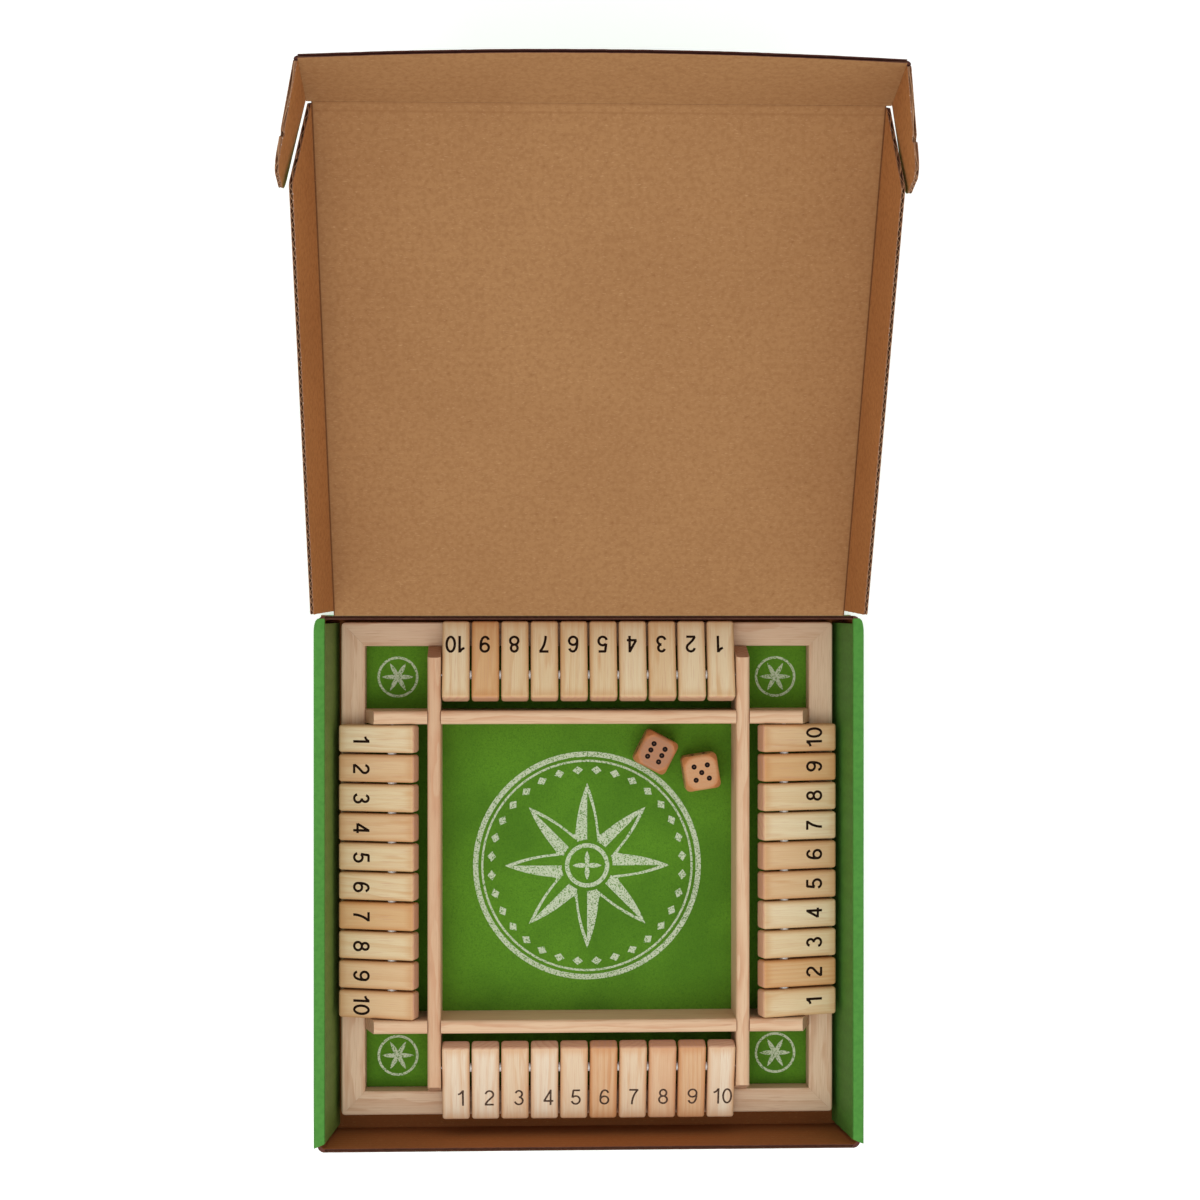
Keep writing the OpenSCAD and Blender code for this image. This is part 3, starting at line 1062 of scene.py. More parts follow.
def flute_tree(pitch: float, depth: float, material: Material) -> Tree:
    """Tree that bends a flat strip into the wavy middle paper of corrugated board.

    Args:
        pitch: Length of one wave along local Y.
        depth: Height of a wave from its middle.
        material: The paper's finish.

    Returns:
        The tree.
    """
    tree = Tree("flute_wave", {"Pitch": pitch, "Depth": depth})
    place = tree.add("GeometryNodeInputPosition")
    split = tree.add("ShaderNodeSeparateXYZ")
    tree.link(place.outputs[0], split.inputs[0])
    turns = tree.math("DIVIDE", split.outputs[1], tree.entry.outputs["Pitch"])
    wave = tree.math("SINE", tree.math("MULTIPLY", turns, math.tau))
    lift = tree.add("ShaderNodeCombineXYZ")
    tree.link(tree.math("MULTIPLY", wave, tree.entry.outputs["Depth"]), lift.inputs[2])
    move = tree.add("GeometryNodeSetPosition")
    tree.link(tree.entry.outputs["Geometry"], move.inputs["Geometry"])
    tree.link(lift.outputs[0], move.inputs["Offset"])
    tree.end(move.outputs[0], material)
    return tree


def fuzz_tree(density: float, length: float, seed: int, material: Material) -> Tree:
    """Tree that strews short loose fibres over a sheet.

    Args:
        density: Fibres per square metre.
        length: Length of a fibre.
        seed: Seed of the places and turns.
        material: The fibres' finish.

    Returns:
        The tree.
    """
    tree = Tree("felt_fuzz", {"Density": density, "Length": length})
    spread = tree.add("GeometryNodeDistributePointsOnFaces")
    tree.link(tree.entry.outputs["Geometry"], spread.inputs["Mesh"])
    tree.link(tree.entry.outputs["Density"], spread.inputs["Density"])
    spread.inputs["Seed"].default_value = seed
    cone = tree.add("GeometryNodeMeshCone")
    cone.inputs["Vertices"].default_value = 3
    cone.inputs["Radius Bottom"].default_value = 0.03 * MM
    tree.link(tree.entry.outputs["Length"], cone.inputs["Depth"])
    turn = tree.add("FunctionNodeRandomValue", data_type="FLOAT_VECTOR")
    turn.inputs["Min"].default_value = (1.25, -0.2, 0.0)
    turn.inputs["Max"].default_value = (1.5, 0.2, math.tau)
    turn.inputs["Seed"].default_value = seed + 1
    strew = tree.add("GeometryNodeInstanceOnPoints")
    tree.link(spread.outputs["Points"], strew.inputs["Points"])
    tree.link(cone.outputs["Mesh"], strew.inputs["Instance"])
    tree.link(turn.outputs[0], strew.inputs["Rotation"])
    tree.end(strew.outputs[0], material)
    return tree


# ---------------------------------------------------------------- corrugated board


@dataclass
class Panel:
    """One flat panel of corrugated board: two papers with a wavy one between them.

    Its own axes are X along the flutes, Y across them and Z out of its bare face.
    """

    outline: list[Point2]
    thick: float
    place: Matrix
    paper: float = 0.32 * MM
    pitch: float = 4.85 * MM
    ragged: float = 0.09 * MM
    step: float = 3.0 * MM
    cell: float = 14.0 * MM
    trim: float = 0.1 * MM
    fold_reach: float = 0.5 * MM
    wave_steps: int = 10
    core_inset: float = 0.15 * MM
    core_depth: float = 12.0 * MM
    core_paper: float = 0.6
    core_seat: float = 1.1
    bow_free: float = 0.0
    bow_middle: float = 0.0
    bow_ripple: float = 0.35
    seed: int = 0

    @classmethod
    def of(cls, solid: Solid, bare: Vector, flutes: Vector, seed: int, **bow: float) -> "Panel":
        """Measures a panel from its solid.

        Args:
            solid: The CAD solid.
            bare: Rough direction of the unprinted face.
            flutes: Rough direction of the flutes.
            seed: Seed of the ragged edge.
            bow: How far the board bows, as bow_free and bow_middle.

        Returns:
            The panel.
        """
        facets = solid.facets()
        two = sorted(facets[:2], key=lambda f: -f.normal.dot(bare))
        z = two[0].normal.normalized()
        x = (flutes - z * flutes.dot(z)).normalized()
        place = place_at(two[0].centre, axes_of(x, z))
        back = place.inverted()
        outline = [(back @ c).to_2d() for c in two[0].corners]
        thick = abs((two[0].centre - two[1].centre).dot(z))
        near = min(p.y for p in outline) + cls.trim
        return cls([(p.x, max(p.y, near)) for p in outline], thick, place, seed=seed, **bow)

    def on_fold(self, point: Point2) -> bool:
        """Tests whether a point of the outline lies on the axis of a joint.

        Args:
            point: The point, in the panel's axes.

        Returns:
            True where it does.
        """
        at = self.place @ Vector((point[0], point[1], 0.0))
        for joint in frame["joints"]:
            if joint["type"] == "hinge":
                away = at - Vector(joint["pos_m"])
                if away.cross(Vector(joint["axis"]).normalized()).length < self.fold_reach:
                    return True
        return False

    def edge(self) -> list[Point2]:
        """Cuts the outline into short steps, slightly ragged where it isn't a fold.

        Returns:
            The finer outline.
        """
        rough = random.Random(self.seed)
        out: list[Point2] = []
        for a, b in zip(self.outline, self.outline[1:] + self.outline[:1]):
            length = math.dist(a, b)
            count = max(1, round(length / self.step))
            nx, ny = (b[1] - a[1]) / length, (a[0] - b[0]) / length
            cut = 0.0 if self.on_fold(a) and self.on_fold(b) else self.ragged
            for k in range(count):
                t = k / count
                off = 0.0 if k == 0 else -abs(rough.gauss(0, cut))
                out.append((a[0] + (b[0] - a[0]) * t + nx * off, a[1] + (b[1] - a[1]) * t + ny * off))
        return out

    def span(self, axis: int) -> Point2:
        """Least and greatest place of the outline along its X (0) or Y (1)."""
        values = [p[axis] for p in self.outline]
        return min(values), max(values)

    def bend(self, x: float, y: float) -> float:
        """How far the board bows out of its plane at a place.

        Args:
            x: Place along the flutes.
            y: Place across them.

        Returns:
            The height above the flat board.
        """
        (x0, x1), (y0, y1) = self.span(0), self.span(1)
        u, v = (2 * x - x0 - x1) / (x1 - x0), (y - y0) / (y1 - y0)
        inside = max(0.0, 1 - u * u)
        free = self.bow_free * v * inside
        ripple = self.bow_ripple * math.sin(5.1 * u + 1.3) * math.sin(4.3 * v + 0.4)
        return free + self.bow_middle * (1 + ripple) * inside * max(0.0, 4 * v * (1 - v))

    def sheet(self, printed: bool) -> Mesh:
        """Builds one of the outer papers.

        Args:
            printed: True for the printed paper, False for the bare one.

        Returns:
            Its mesh, in place. Its cut rim and its hidden side have the second material.
        """
        bm = bmesh.new()
        top, out = (self.paper - self.thick, -1) if printed else (0.0, 1)
        face = bm.faces.new([bm.verts.new((x, y, top)) for x, y in self.edge()])
        if face.normal.z < 0:
            face.normal_flip()
        if self.bow_free or self.bow_middle:
            for axis, normal in enumerate((RIGHTWARDS, BACKWARDS)):
                low, high = self.span(axis)
                cuts = max(1, round((high - low) / self.cell))
                for k in range(1, cuts):
                    cut_across(bm, normal * (low + (high - low) * k / cuts), normal)
        made = bmesh.ops.extrude_face_region(bm, geom=bm.faces[:])
        low_verts = [v for v in made["geom"] if isinstance(v, bmesh.types.BMVert)]
        bmesh.ops.translate(bm, verts=low_verts, vec=(0, 0, -self.paper))
        bmesh.ops.recalc_face_normals(bm, faces=bm.faces)
        for f in bm.faces:
            f.material_index = 0 if f.normal.z * out > 0.5 else 1
        bmesh.ops.triangulate(bm, faces=bm.faces, ngon_method="EAR_CLIP")
        return self.placed(bm)

    def placed(self, bm: BMesh) -> Mesh:
        """Bows a mesh as the panel is, and moves it from the panel's axes to the row frame.

        Args:
            bm: The working mesh, in the panel's axes.

        Returns:
            The finished mesh.
        """
        for v in bm.verts:
            v.co.z += self.bend(v.co.x, v.co.y)
        bm.transform(self.place)
        return finished("panel", bm)

    def crossings(self, y: float) -> list[float]:
        """Finds where the outline crosses a line of constant Y.

        Args:
            y: The line's Y.

        Returns:
            The X of each crossing, from left to right.
        """
        found = []
        for a, b in zip(self.outline, self.outline[1:] + self.outline[:1]):
            if (a[1] - y) * (b[1] - y) < 0:
                found.append(a[0] + (b[0] - a[0]) * (y - a[1]) / (b[1] - a[1]))
        return sorted(found)

    def runs(self, y: float, near_end: bool) -> list[Point2]:
        """Finds the stretches that the wavy paper covers on a line of constant Y.

        Args:
            y: The line's Y.
            near_end: True near the panel's Y ends, where one can see right in.

        Returns:
            Start and end of each stretch.
        """
        inset, deep = self.core_inset, self.core_depth
        xs = self.crossings(y)
        full = [(a + inset, b - inset) for a, b in zip(xs[::2], xs[1::2]) if b - a > 2 * inset]
        if near_end:
            return full
        return [part for a, b in full
                for part in (((a, a + deep), (b - deep, b)) if b - a > 3 * deep else ((a, b),))]

    def flutes(self, material: Material) -> Mesh:
        """The wavy middle paper, cut to the outline.

        It runs right across near the panel's Y ends, and elsewhere only as deep as one can see in.

        Args:
            material: The paper's finish.

        Returns:
            The paper's mesh, in place.
        """
        low, high = self.span(1)
        low, high = low + self.core_inset, high - self.core_inset
        rows = max(2, round((high - low) / self.pitch * self.wave_steps))
        bm = bmesh.new()
        last: list[list[bmesh.types.BMVert]] = []
        for k in range(rows + 1):
            y = low + (high - low) * k / rows
            now = []
            for a, b in self.runs(y, min(k, rows - k) <= 2 * self.wave_steps):
                count = max(1, round((b - a) / self.cell))
                now.append([bm.verts.new((a + (b - a) * n / count, y, 0)) for n in range(count + 1)])
            if [len(run) for run in now] == [len(run) for run in last]:
                for before, after in zip(last, now):
                    for n in range(len(before) - 1):
                        bm.faces.new((before[n], before[n + 1], after[n + 1], after[n]))
            last = now
        for vert in [v for v in bm.verts if not v.link_faces]:
            bm.verts.remove(vert)
        thing = linked("temporary", finished("flutes", bm))
        flute_tree(self.pitch, self.thick / 2 - self.core_seat * self.paper, material).run(thing)
        skin = thing.modifiers.new("paper", "SOLIDIFY")
        skin.thickness = self.core_paper * self.paper
        skin.offset = 0
        done = bmesh.new()
        done.from_mesh(evaluated_mesh(thing))
        bmesh.ops.translate(done, verts=done.verts, vec=(0, 0, -self.thick / 2))
        return self.placed(done)


def merged(meshes: list[Mesh], *materials: Material) -> Mesh:
    """Joins meshes into one.

    Args:
        meshes: The meshes.
        materials: The finishes of the joined mesh.

    Returns:
        The joined mesh.
    """
    bm = bmesh.new()
    for mesh in meshes:
        bm.from_mesh(mesh)
    return finished("merged", bm, *materials)


@dataclass
class Crease:
    """The rounded outside of a fold, as two nested sectors that slide over each other.

    The parent panel carries the outer one and the folding panel the inner one.
    """

    child: str
    parent: str
    from_way: Vector
    to_way: Vector
    radius: float = 2.0 * MM
    shell: float = 0.35 * MM
    gap: float = 0.06 * MM
    core: float = 0.06 * MM
    end_gap: float = 0.3 * MM
    slack_deg: float = 0.4
    reach: float = 3.2 * MM
    steps: int = 8

    def sector(self, start: Vector, turn: Vector, span: float, radii: Point2, low: Vector,
               length: float) -> BMesh:
        """Builds a sector of a tube along the fold, whose round outside has the second material.

        Args:
            start: The direction from the fold to the sector's start.
            turn: The fold's direction, about which the sector turns.
            span: The sector's angle.
            radii: Its inner and outer radius.
            low: The fold's start.
            length: The fold's length.

        Returns:
            The working mesh.
        """
        inner, outer = radii
        bm = bmesh.new()
        spokes = [Matrix.Rotation(span * k / self.steps, 3, turn) @ start for k in range(self.steps + 1)]
        rings = []
        for base in (low, low + turn.normalized() * length):
            rings.append([bm.verts.new(base + d * outer) for d in spokes] +
                         [bm.verts.new(base + d * inner) for d in reversed(spokes)])
        a, b = rings
        count = len(a)
        for k in range(count):
            face = bm.faces.new((a[k], a[(k + 1) % count], b[(k + 1) % count], b[k]))
            face.material_index = 1 if k < self.steps else 0
            face.smooth = k < self.steps
        for ring in rings:
            for k in range(count // 2 - 1):
                bm.faces.new((ring[k], ring[k + 1], ring[count - 2 - k], ring[count - 1 - k]))
        bmesh.ops.recalc_face_normals(bm, faces=bm.faces)
        return bm

    def extent(self, at: Vector, axis: Vector) -> Point2:
        """Finds how far the folding panel reaches along the fold.

        Args:
            at: A point of the fold.
            axis: Its direction.

        Returns:
            The least and the greatest place along the fold, from that point.
        """
        offsets = [v.co - at for v in solids_of(self.child)[0].mesh.verts]
        places = [o.dot(axis) for o in offsets if (o - axis * o.dot(axis)).length < self.reach]
        return min(places), max(places)

    def build(self, raw: Material, printed: Material) -> None:
        """Builds both sectors.

        Args:
            raw: Finish of the crushed board in the fold: the dark cut-edge copy, which paints shade there.
            printed: Finish of the printed outside.
        """
        joint = joint_of(self.child)
        at, axis = Vector(joint["pos_m"]), Vector(joint["axis"]).normalized()
        first, last = self.extent(at, axis)
        low = at + axis * (first + self.end_gap)
        length = last - first - 2 * self.end_gap
        a, b = self.from_way.normalized(), self.to_way.normalized()
        turn = a.cross(b).normalized()
        span = a.angle(b) - math.radians(joint["range_deg"][1] + self.slack_deg)
        if turn.dot(axis) < 0:
            low, turn = low + axis * length, -axis
        back = Matrix.Rotation(-span, 3, turn) @ b
        skin = self.radius - self.shell
        outer = self.sector(a, turn, span, (skin, self.radius), low, length)
        inner = self.sector(back, turn, span, (self.core, skin - self.gap), low, length)
        for bm, body, word in ((outer, self.parent, "outer"), (inner, self.child, "inner")):
            mesh = finished("crease", bm, raw, printed)
            add_piece(f"crease_{self.child}_{word}", mesh, body)


# ---------------------------------------------------------------- the carton


@dataclass
class Carton:
    """The mailer carton: its tray, side liners, lid, flaps and ears."""

    end_run: float = 8.0 * MM
    end_pull: float = 2.2 * MM
    end_cuts: int = 6
    fold_width: float = 7.0 * MM
    fold_skin: float = 0.5 * MM
    long_wall: float = 100.0 * MM
    floor_round: float = 1.1 * MM
    lid_bow: float = 0.5 * MM
    tuck_bow: float = -2.4 * MM
    scores_in: Point2 = (4.6 * MM, 0.5 * MM)
    kraft: Material = field(init=False)
    flap_kraft: Material = field(init=False)
    tuck_kraft: Material = field(init=False)
    wall_kraft: Material = field(init=False)
    green: Material = field(init=False)
    inner_green: Material = field(init=False)
    shaded_green: Material = field(init=False)
    core: Material = field(init=False)
    pale_core: Material = field(init=False)
    edge: Material = field(init=False)
    torn_edge: Material = field(init=False)

    def __post_init__(self) -> None:
        """Makes the finishes."""
        fold = Vector(joint_of("tuck_flap")["pos_m"]).dot(ALONG_LID)
        brown = {"dark": srgb(144, 99, 60), "pale": srgb(194, 152, 108), "flute_axis": ALONG_LID}
        warm = {"dark": srgb(146, 90, 46), "pale": srgb(192, 136, 86)}
        self.kraft = Paperboard("kraft_paper", srgb(168, 124, 80), flecks=0.6,
                                fold_x=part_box("lid_panel")[1].x,
                                score_at=tuple(fold - inset for inset in self.scores_in), **brown).material()
        # Partly painted light: the flaps' and ears' bare kraft is a warmer, more orange copy of the lid's
        # kraft. That is partly the paper's own tone and partly painted orange light bounced between the
        # flaps.
        self.flap_kraft = Paperboard("kraft_paper_flap_bounce_lit", srgb(184, 124, 70), flute_axis=ALONG_LID,
                                     **warm).material()
        self.tuck_kraft = Paperboard("kraft_paper_tuck", srgb(168, 124, 80), **brown).material()
        # Painted shade: the bare kraft inside the tray, on the walls, the floor and the liners, is a darker,
        # redder copy of the lid's kraft that stands in for the shade there.
        self.wall_kraft = Paperboard("kraft_paper_wall_shaded", srgb(154, 92, 46), flute_axis=UPWARDS,
                                     **warm).material()
        self.green = Paperboard("printed_green", srgb(82, 146, 60), srgb(64, 124, 48), srgb(100, 160, 76),
                                BACKWARDS, flecks=0.15, flute_show=0.03, roughness=0.75).material()
        inside = {"flute_axis": BACKWARDS, "flecks": 0.15, "flute_show": 0.2, "flute_pitch": 11.0 * MM,
                  "roughness": 0.55}
        self.inner_green = Paperboard("printed_green_inside", srgb(84, 140, 56), srgb(62, 104, 40),
                                      srgb(104, 152, 70), **inside).material()
        # Painted light: the left liner, which faces away from the lamp, gets a lighter, more olive copy of
        # the inside green.
        self.shaded_green = Paperboard("printed_green_left_lit", srgb(112, 140, 66), srgb(88, 112, 50),
                                       srgb(128, 152, 80), **inside).material()
        # The flute paper and cut edge come in two copies. The dark copies paint shade on edges that lie in
        # shadow. The pale copies paint light on the flaps' and ears' edges that face the light, and carry
        # white flecks of torn fibre.
        plain = {"flute_axis": BACKWARDS, "flute_show": 0.0}
        self.core = Paperboard("flute_paper", srgb(120, 80, 60), srgb(84, 52, 38), srgb(150, 108, 80),
                               **plain).material()
        self.pale_core = Paperboard("flute_paper_pale", srgb(196, 150, 112), srgb(164, 118, 84),
                                    srgb(216, 178, 142), **plain).material()
        self.torn_edge = Paperboard("torn_edge", srgb(158, 112, 82), srgb(122, 80, 56), srgb(240, 228, 214),
                                    flecks=0.9, **plain).material()
        self.edge = Paperboard("cut_edge_shaded", srgb(98, 56, 46), srgb(66, 36, 34), srgb(128, 84, 66),
                               **plain).material()

    def board(self, name: str, body: str, solids: list[tuple[Solid, Vector, Vector]], bare: Material,
              printed: Material | None = None, torn: bool = False, **bow: float) -> None:
        """Builds a node's panels as three pieces: bare paper, printed paper and flutes.

        Args:
            name: The CAD node that they stand for, which starts the pieces' names.
            body: The CAD body that they ride on.
            solids: Each solid, with the rough directions of its bare face and of its flutes.
            bare: Finish of the bare paper.
            printed: Finish of the printed paper, or None for the usual one.
            torn: True where the cut edges are in the light, and show pale torn paper: the pale copies,
                painted light. Otherwise the dark copies, painted shade.
            bow: How far the panels bow, as bow_free and bow_middle.
        """
        panels = [Panel.of(s, b, f, seed=k + len(name), **bow) for k, (s, b, f) in enumerate(solids)]
        # Painted light and shade: pale copies of the cut edge and flute paper for lit edges, dark ones for
        # shaded edges.
        edge, wavy = (self.torn_edge, self.pale_core) if torn else (self.edge, self.core)
        inner = merged([p.sheet(False) for p in panels], bare, edge)
        outer = merged([p.sheet(True) for p in panels], printed or self.green, edge)
        core = merged([p.flutes(wavy) for p in panels], wavy)
        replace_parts(add_piece(f"{name}_bare_paper", inner, body), name)
        add_piece(f"{name}_printed_paper", outer, body)
        add_piece(f"{name}_flutes", core, body)

    def build_floor(self, solid: Solid) -> None:
        """Builds the tray's floor, whose four edges are folds: the print wraps round them.

        Args:
            solid: The floor's solid.
        """
        bm = solid.mesh
        low = min(v.co.z for v in bm.verts) + MERGE
        rim = [e for e in bm.edges if all(v.co.z < low for v in e.verts) and e.calc_face_angle(0.0) > 1.0]
        bmesh.ops.bevel(bm, geom=rim, offset=self.floor_round, segments=4, profile=0.5, affect="EDGES")
        for f in bm.faces:
            f.material_index = 0 if f.normal.z > FACING else 1
            f.smooth = 0.05 < abs(f.normal.z) < 0.98
        add_piece("carton_floor", finished("floor", bm, self.wall_kraft, self.green), "carton")

    def build_tray(self) -> None:
        """Builds the tray: flat panels as board, and the rest as copies of their solids."""
        flat, curved = [], []
        for solid in solids_of("carton_tray"):
            if not solid.is_slab():
                curved.append(solid)
                continue
            big = solid.facets()[0]
            if abs(big.normal.z) > FACING:
                self.build_floor(solid)
            elif abs(big.normal.y) > FACING:
                flat.append((solid, BACKWARDS * -math.copysign(1, big.centre.y), RIGHTWARDS))
            else:
                flat.append((solid, RIGHTWARDS * -math.copysign(1, big.centre.x), BACKWARDS))
        self.board("carton_tray", "carton", flat, self.wall_kraft)
        for k, solid in enumerate(curved):
            self.curved_piece(f"carton_wall_{k + 1}", solid)

    def round_back_end(self, bm: BMesh) -> None:
        """Curves the back end of a rolled side wall inwards.

        Args:
            bm: The wall's mesh.
        """
        end = max(v.co.y for v in bm.verts)
        outside = max(abs(v.co.x) for v in bm.verts)
        for k in range(self.end_cuts):
            cut_across(bm, BACKWARDS * (end - self.end_run * (1 - k / self.end_cuts)), BACKWARDS)
        for v in bm.verts:
            t = max(0.0, (v.co.y - end) / self.end_run + 1)
            share = max(0.0, 1 - (outside - abs(v.co.x)) / self.fold_width)
            v.co.x -= math.copysign(self.end_pull * share * (1 - math.sqrt(1 - min(1.0, t * t))), v.co.x)
        bm.normal_update()

    def curved_piece(self, name: str, solid: Solid) -> None:
        """Builds a bend or a rolled wall: printed outside and over its fold, bare inside, with cut edges.

        Args:
            name: The piece's name.
            solid: Its solid.
        """
        bm = solid.mesh
        long = max(v.co.y for v in bm.verts) - min(v.co.y for v in bm.verts) > self.long_wall
        inside = min(abs(v.co.x) for v in bm.verts) + self.fold_skin
        if long:
            self.round_back_end(bm)
        printed, bare, cut = range(3)
        for f in bm.faces:
            middle = f.calc_center_median()
            out = f.normal.dot(Vector((middle.x, 0 if long else middle.y, 0)).normalized())
            if abs(f.normal.y if long else f.normal.z) > FACING:
                f.material_index = cut
            elif long:
                shows = abs(middle.x) < inside or f.normal.z > 0.2 or out > -0.2
                f.material_index = printed if shows else bare
            else:
                f.material_index = printed if out > 0 else bare
            f.smooth = abs(f.normal.z) < FACING
        mesh = finished(name, bm, self.green, self.wall_kraft, self.edge)
        add_piece(name, mesh, "carton")

    def build_liner(self, side: Side) -> None:
        """Builds the inner layer of a side wall, whose printed face looks at the game.

        Args:
            side: The side, left or right.
        """
        right = side is Side.RIGHT
        node = f"liner_{side.value}"
        self.board(node, node, [(solids_of(node)[0], RIGHTWARDS if right else -RIGHTWARDS, UPWARDS)],
                   self.wall_kraft, printed=self.inner_green if right else self.shaded_green)

    def build_lid(self) -> None:
        """Builds the lid, its side flaps, the tuck flap and the ears, and their folds."""
        lid, tuck = solids_of("lid_panel")[0], solids_of("tuck_flap")[0]
        into_tuck, along_ear = Vector((0, -1, 0.3)), Vector((0, -1, 0.23))
        self.board("lid_panel", "lid", [(lid, ABOVE_LID, RIGHTWARDS)], self.kraft, bow_middle=self.lid_bow)
        self.board("tuck_flap", "tuck_flap", [(tuck, into_tuck, RIGHTWARDS)], self.tuck_kraft,
                   bow_free=self.tuck_bow)
        lid_out = -max((f.normal for f in lid.facets()[:2]), key=lambda n: n.dot(ABOVE_LID))
        tuck_out = -max((f.normal for f in tuck.facets()[:2]), key=lambda n: n.dot(into_tuck))
        Crease("tuck_flap", "lid", lid_out, tuck_out).build(self.edge, self.green)
        for side, inward in ((Side.LEFT, RIGHTWARDS), (Side.RIGHT, -RIGHTWARDS)):
            for node, parent, out, flutes in ((f"lid_flap_{side.value}", "lid", lid_out, ABOVE_LID),
                                              (f"tuck_ear_{side.value}", "tuck_flap", tuck_out, along_ear)):
                solid = solids_of(node)[0]
                self.board(node, node, [(solid, inward, flutes)], self.flap_kraft, torn=True)
                away = min((f.normal for f in solid.facets()[:2]), key=lambda n: n.dot(inward))
                Crease(node, parent, out, away).build(self.edge, self.green)

    def build(self) -> None:
        """Builds the whole carton."""
        self.build_tray()
        self.build_liner(Side.LEFT)
        self.build_liner(Side.RIGHT)
        self.build_lid()


# ---------------------------------------------------------------- the wooden game


def arc(middle: Point2, radii: Point2, start: float, stop: float, steps: int) -> list[Point2]:
    """Points on a stretched arc.

    Args:
        middle: Its middle.
        radii: Its radius in X and in Y.
        start: Its first angle, in degrees.
        stop: Its last angle.
        steps: How many steps it takes.

    Returns:
        The points.
    """
    turns = [math.radians(start + (stop - start) * k / steps) for k in range(steps + 1)]
    return [(middle[0] + radii[0] * math.cos(t), middle[1] + radii[1] * math.sin(t)) for t in turns]


@dataclass
class Numerals:
    """Plain thin numerals, drawn as pen strokes on a body one unit high."""

    ink: Material
    height: float = 9.7 * MM
    pen: float = 1.08 * MM
    film: float = 0.03 * MM
    advance: float = 0.6
    layer: float = 0.04
    made: dict[str, Mesh] = field(default_factory=dict)

    def strokes(self, digit: str) -> list[list[Point2]]:
        """The pen strokes of one digit.

        Args:
            digit: A character from 0 to 9.

        Returns:
            The middle line of each stroke. A closed stroke ends where it starts.
        """
        bowl = arc((0.3, 0.3), (0.235, 0.243), 0, 360, 32)
        neck = [(0.066, 0.34), (0.07, 0.52), (0.1, 0.7), (0.16, 0.84), (0.24, 0.92),
                (0.33, 0.943), (0.43, 0.91), (0.5, 0.82), (0.52, 0.76)]
        foot = [(0.38, 0.47), (0.2, 0.29), (0.09, 0.13), (0.07, 0.057)]
        return {
            "0": [arc((0.3, 0.5), (0.235, 0.443), 0, 360, 36)],
            "1": [[(0.1, 0.73), (0.21, 0.77), (0.3, 0.85), (0.36, 0.95)], [(0.385, 0.0), (0.385, 1.0)]],
            "2": [arc((0.3, 0.71), (0.225, 0.233), 172, -35, 16) + foot, [(0.03, 0.057), (0.55, 0.057)]],
            "3": [arc((0.285, 0.735), (0.19, 0.208), 165, -90, 16),
                  arc((0.285, 0.293), (0.23, 0.236), 90, -168, 20)],
            "4": [[(0.43, 0.97), (0.05, 0.275)], [(0.01, 0.265), (0.58, 0.265)], [(0.42, 0.0), (0.42, 1.0)]],
            "5": [[(0.53, 0.943), (0.12, 0.943)], [(0.15, 0.97), (0.085, 0.47)],
                  arc((0.285, 0.315), (0.24, 0.258), 142, -165, 22)],
            "6": [bowl, neck],
            "7": [[(0.04, 0.943), (0.57, 0.943)],
                  [(0.53, 0.943), (0.42, 0.79), (0.32, 0.6), (0.25, 0.38), (0.21, 0.18), (0.2, 0.0)]],
            "8": [arc((0.3, 0.735), (0.19, 0.208), 0, 360, 32),
                  arc((0.3, 0.293), (0.235, 0.236), 0, 360, 32)],
            "9": [[(0.6 - x, 1 - y) for x, y in line] for line in (bowl, neck)],
        }[digit]

    def pen_tree(self) -> Tree:
        """Makes the tree that draws a flat pen along each line.

        Returns:
            The tree.
        """
        tree = Tree("pen_stroke", {"Pen": self.pen, "Film": self.film})
        path = tree.add("GeometryNodeMeshToCurve")
        tree.link(tree.entry.outputs["Geometry"], path.inputs["Mesh"])
        upright = tree.add("GeometryNodeSetCurveNormal", mode="Z_UP")
        tree.link(path.outputs[0], upright.inputs["Curve"])
        nib = tree.add("GeometryNodeCurvePrimitiveQuadrilateral")
        tree.link(tree.entry.outputs["Pen"], nib.inputs["Width"])
        tree.link(tree.entry.outputs["Film"], nib.inputs["Height"])
        sweep = tree.add("GeometryNodeCurveToMesh")
        sweep.inputs["Fill Caps"].default_value = True
        tree.link(upright.outputs[0], sweep.inputs["Curve"])
        tree.link(nib.outputs[0], sweep.inputs["Profile Curve"])
        tree.end(sweep.outputs[0], self.ink)
        return tree

    def mesh(self, word: str) -> Mesh:
        """A number's ink film, centred on its own origin with its underside at height zero.

        Args:
            word: The number, as digits.

        Returns:
            A new mesh.
        """
        if word not in self.made:
            bm = bmesh.new()
            for k, digit in enumerate(word):
                for n, line in enumerate(self.strokes(digit)):
                    closed = math.dist(line[0], line[-1]) < MERGE
                    rise = (0.5 + self.layer * n) * self.film
                    points = [bm.verts.new(((x + k * self.advance) * self.height, y * self.height, rise))
                              for x, y in line[:-1 if closed else None]]
                    for a, b in zip(points, points[1:] + points[:1] if closed else points[1:]):
                        bm.edges.new((a, b))
            thing = linked("temporary", finished("strokes", bm))
            self.pen_tree().run(thing)
            done = evaluated_mesh(thing)
            xs = [v.co.x for v in done.vertices]
            done.transform(Matrix.Translation((-(max(xs) + min(xs)) / 2, -self.height / 2, 0)))
            self.made[word] = done
        return self.made[word].copy()


Tone = tuple[Colour, Colour]
FRONT_TONES: tuple[Tone, ...] = (
    (srgb(228, 204, 172), srgb(208, 150, 98)),
    (srgb(220, 180, 138), srgb(198, 130, 74)),
    (srgb(224, 188, 150), srgb(202, 138, 90)),
    (srgb(232, 214, 188), srgb(212, 160, 110)),
)
OTHER_TONES: tuple[Tone, ...] = (
    (srgb(225, 202, 160), srgb(200, 148, 92)),
    (srgb(216, 176, 126), srgb(194, 130, 70)),
    (srgb(220, 186, 142), srgb(196, 138, 84)),
    (srgb(229, 210, 172), srgb(204, 158, 104)),
)
TONE_WEIGHTS = (4, 3, 2, 3)


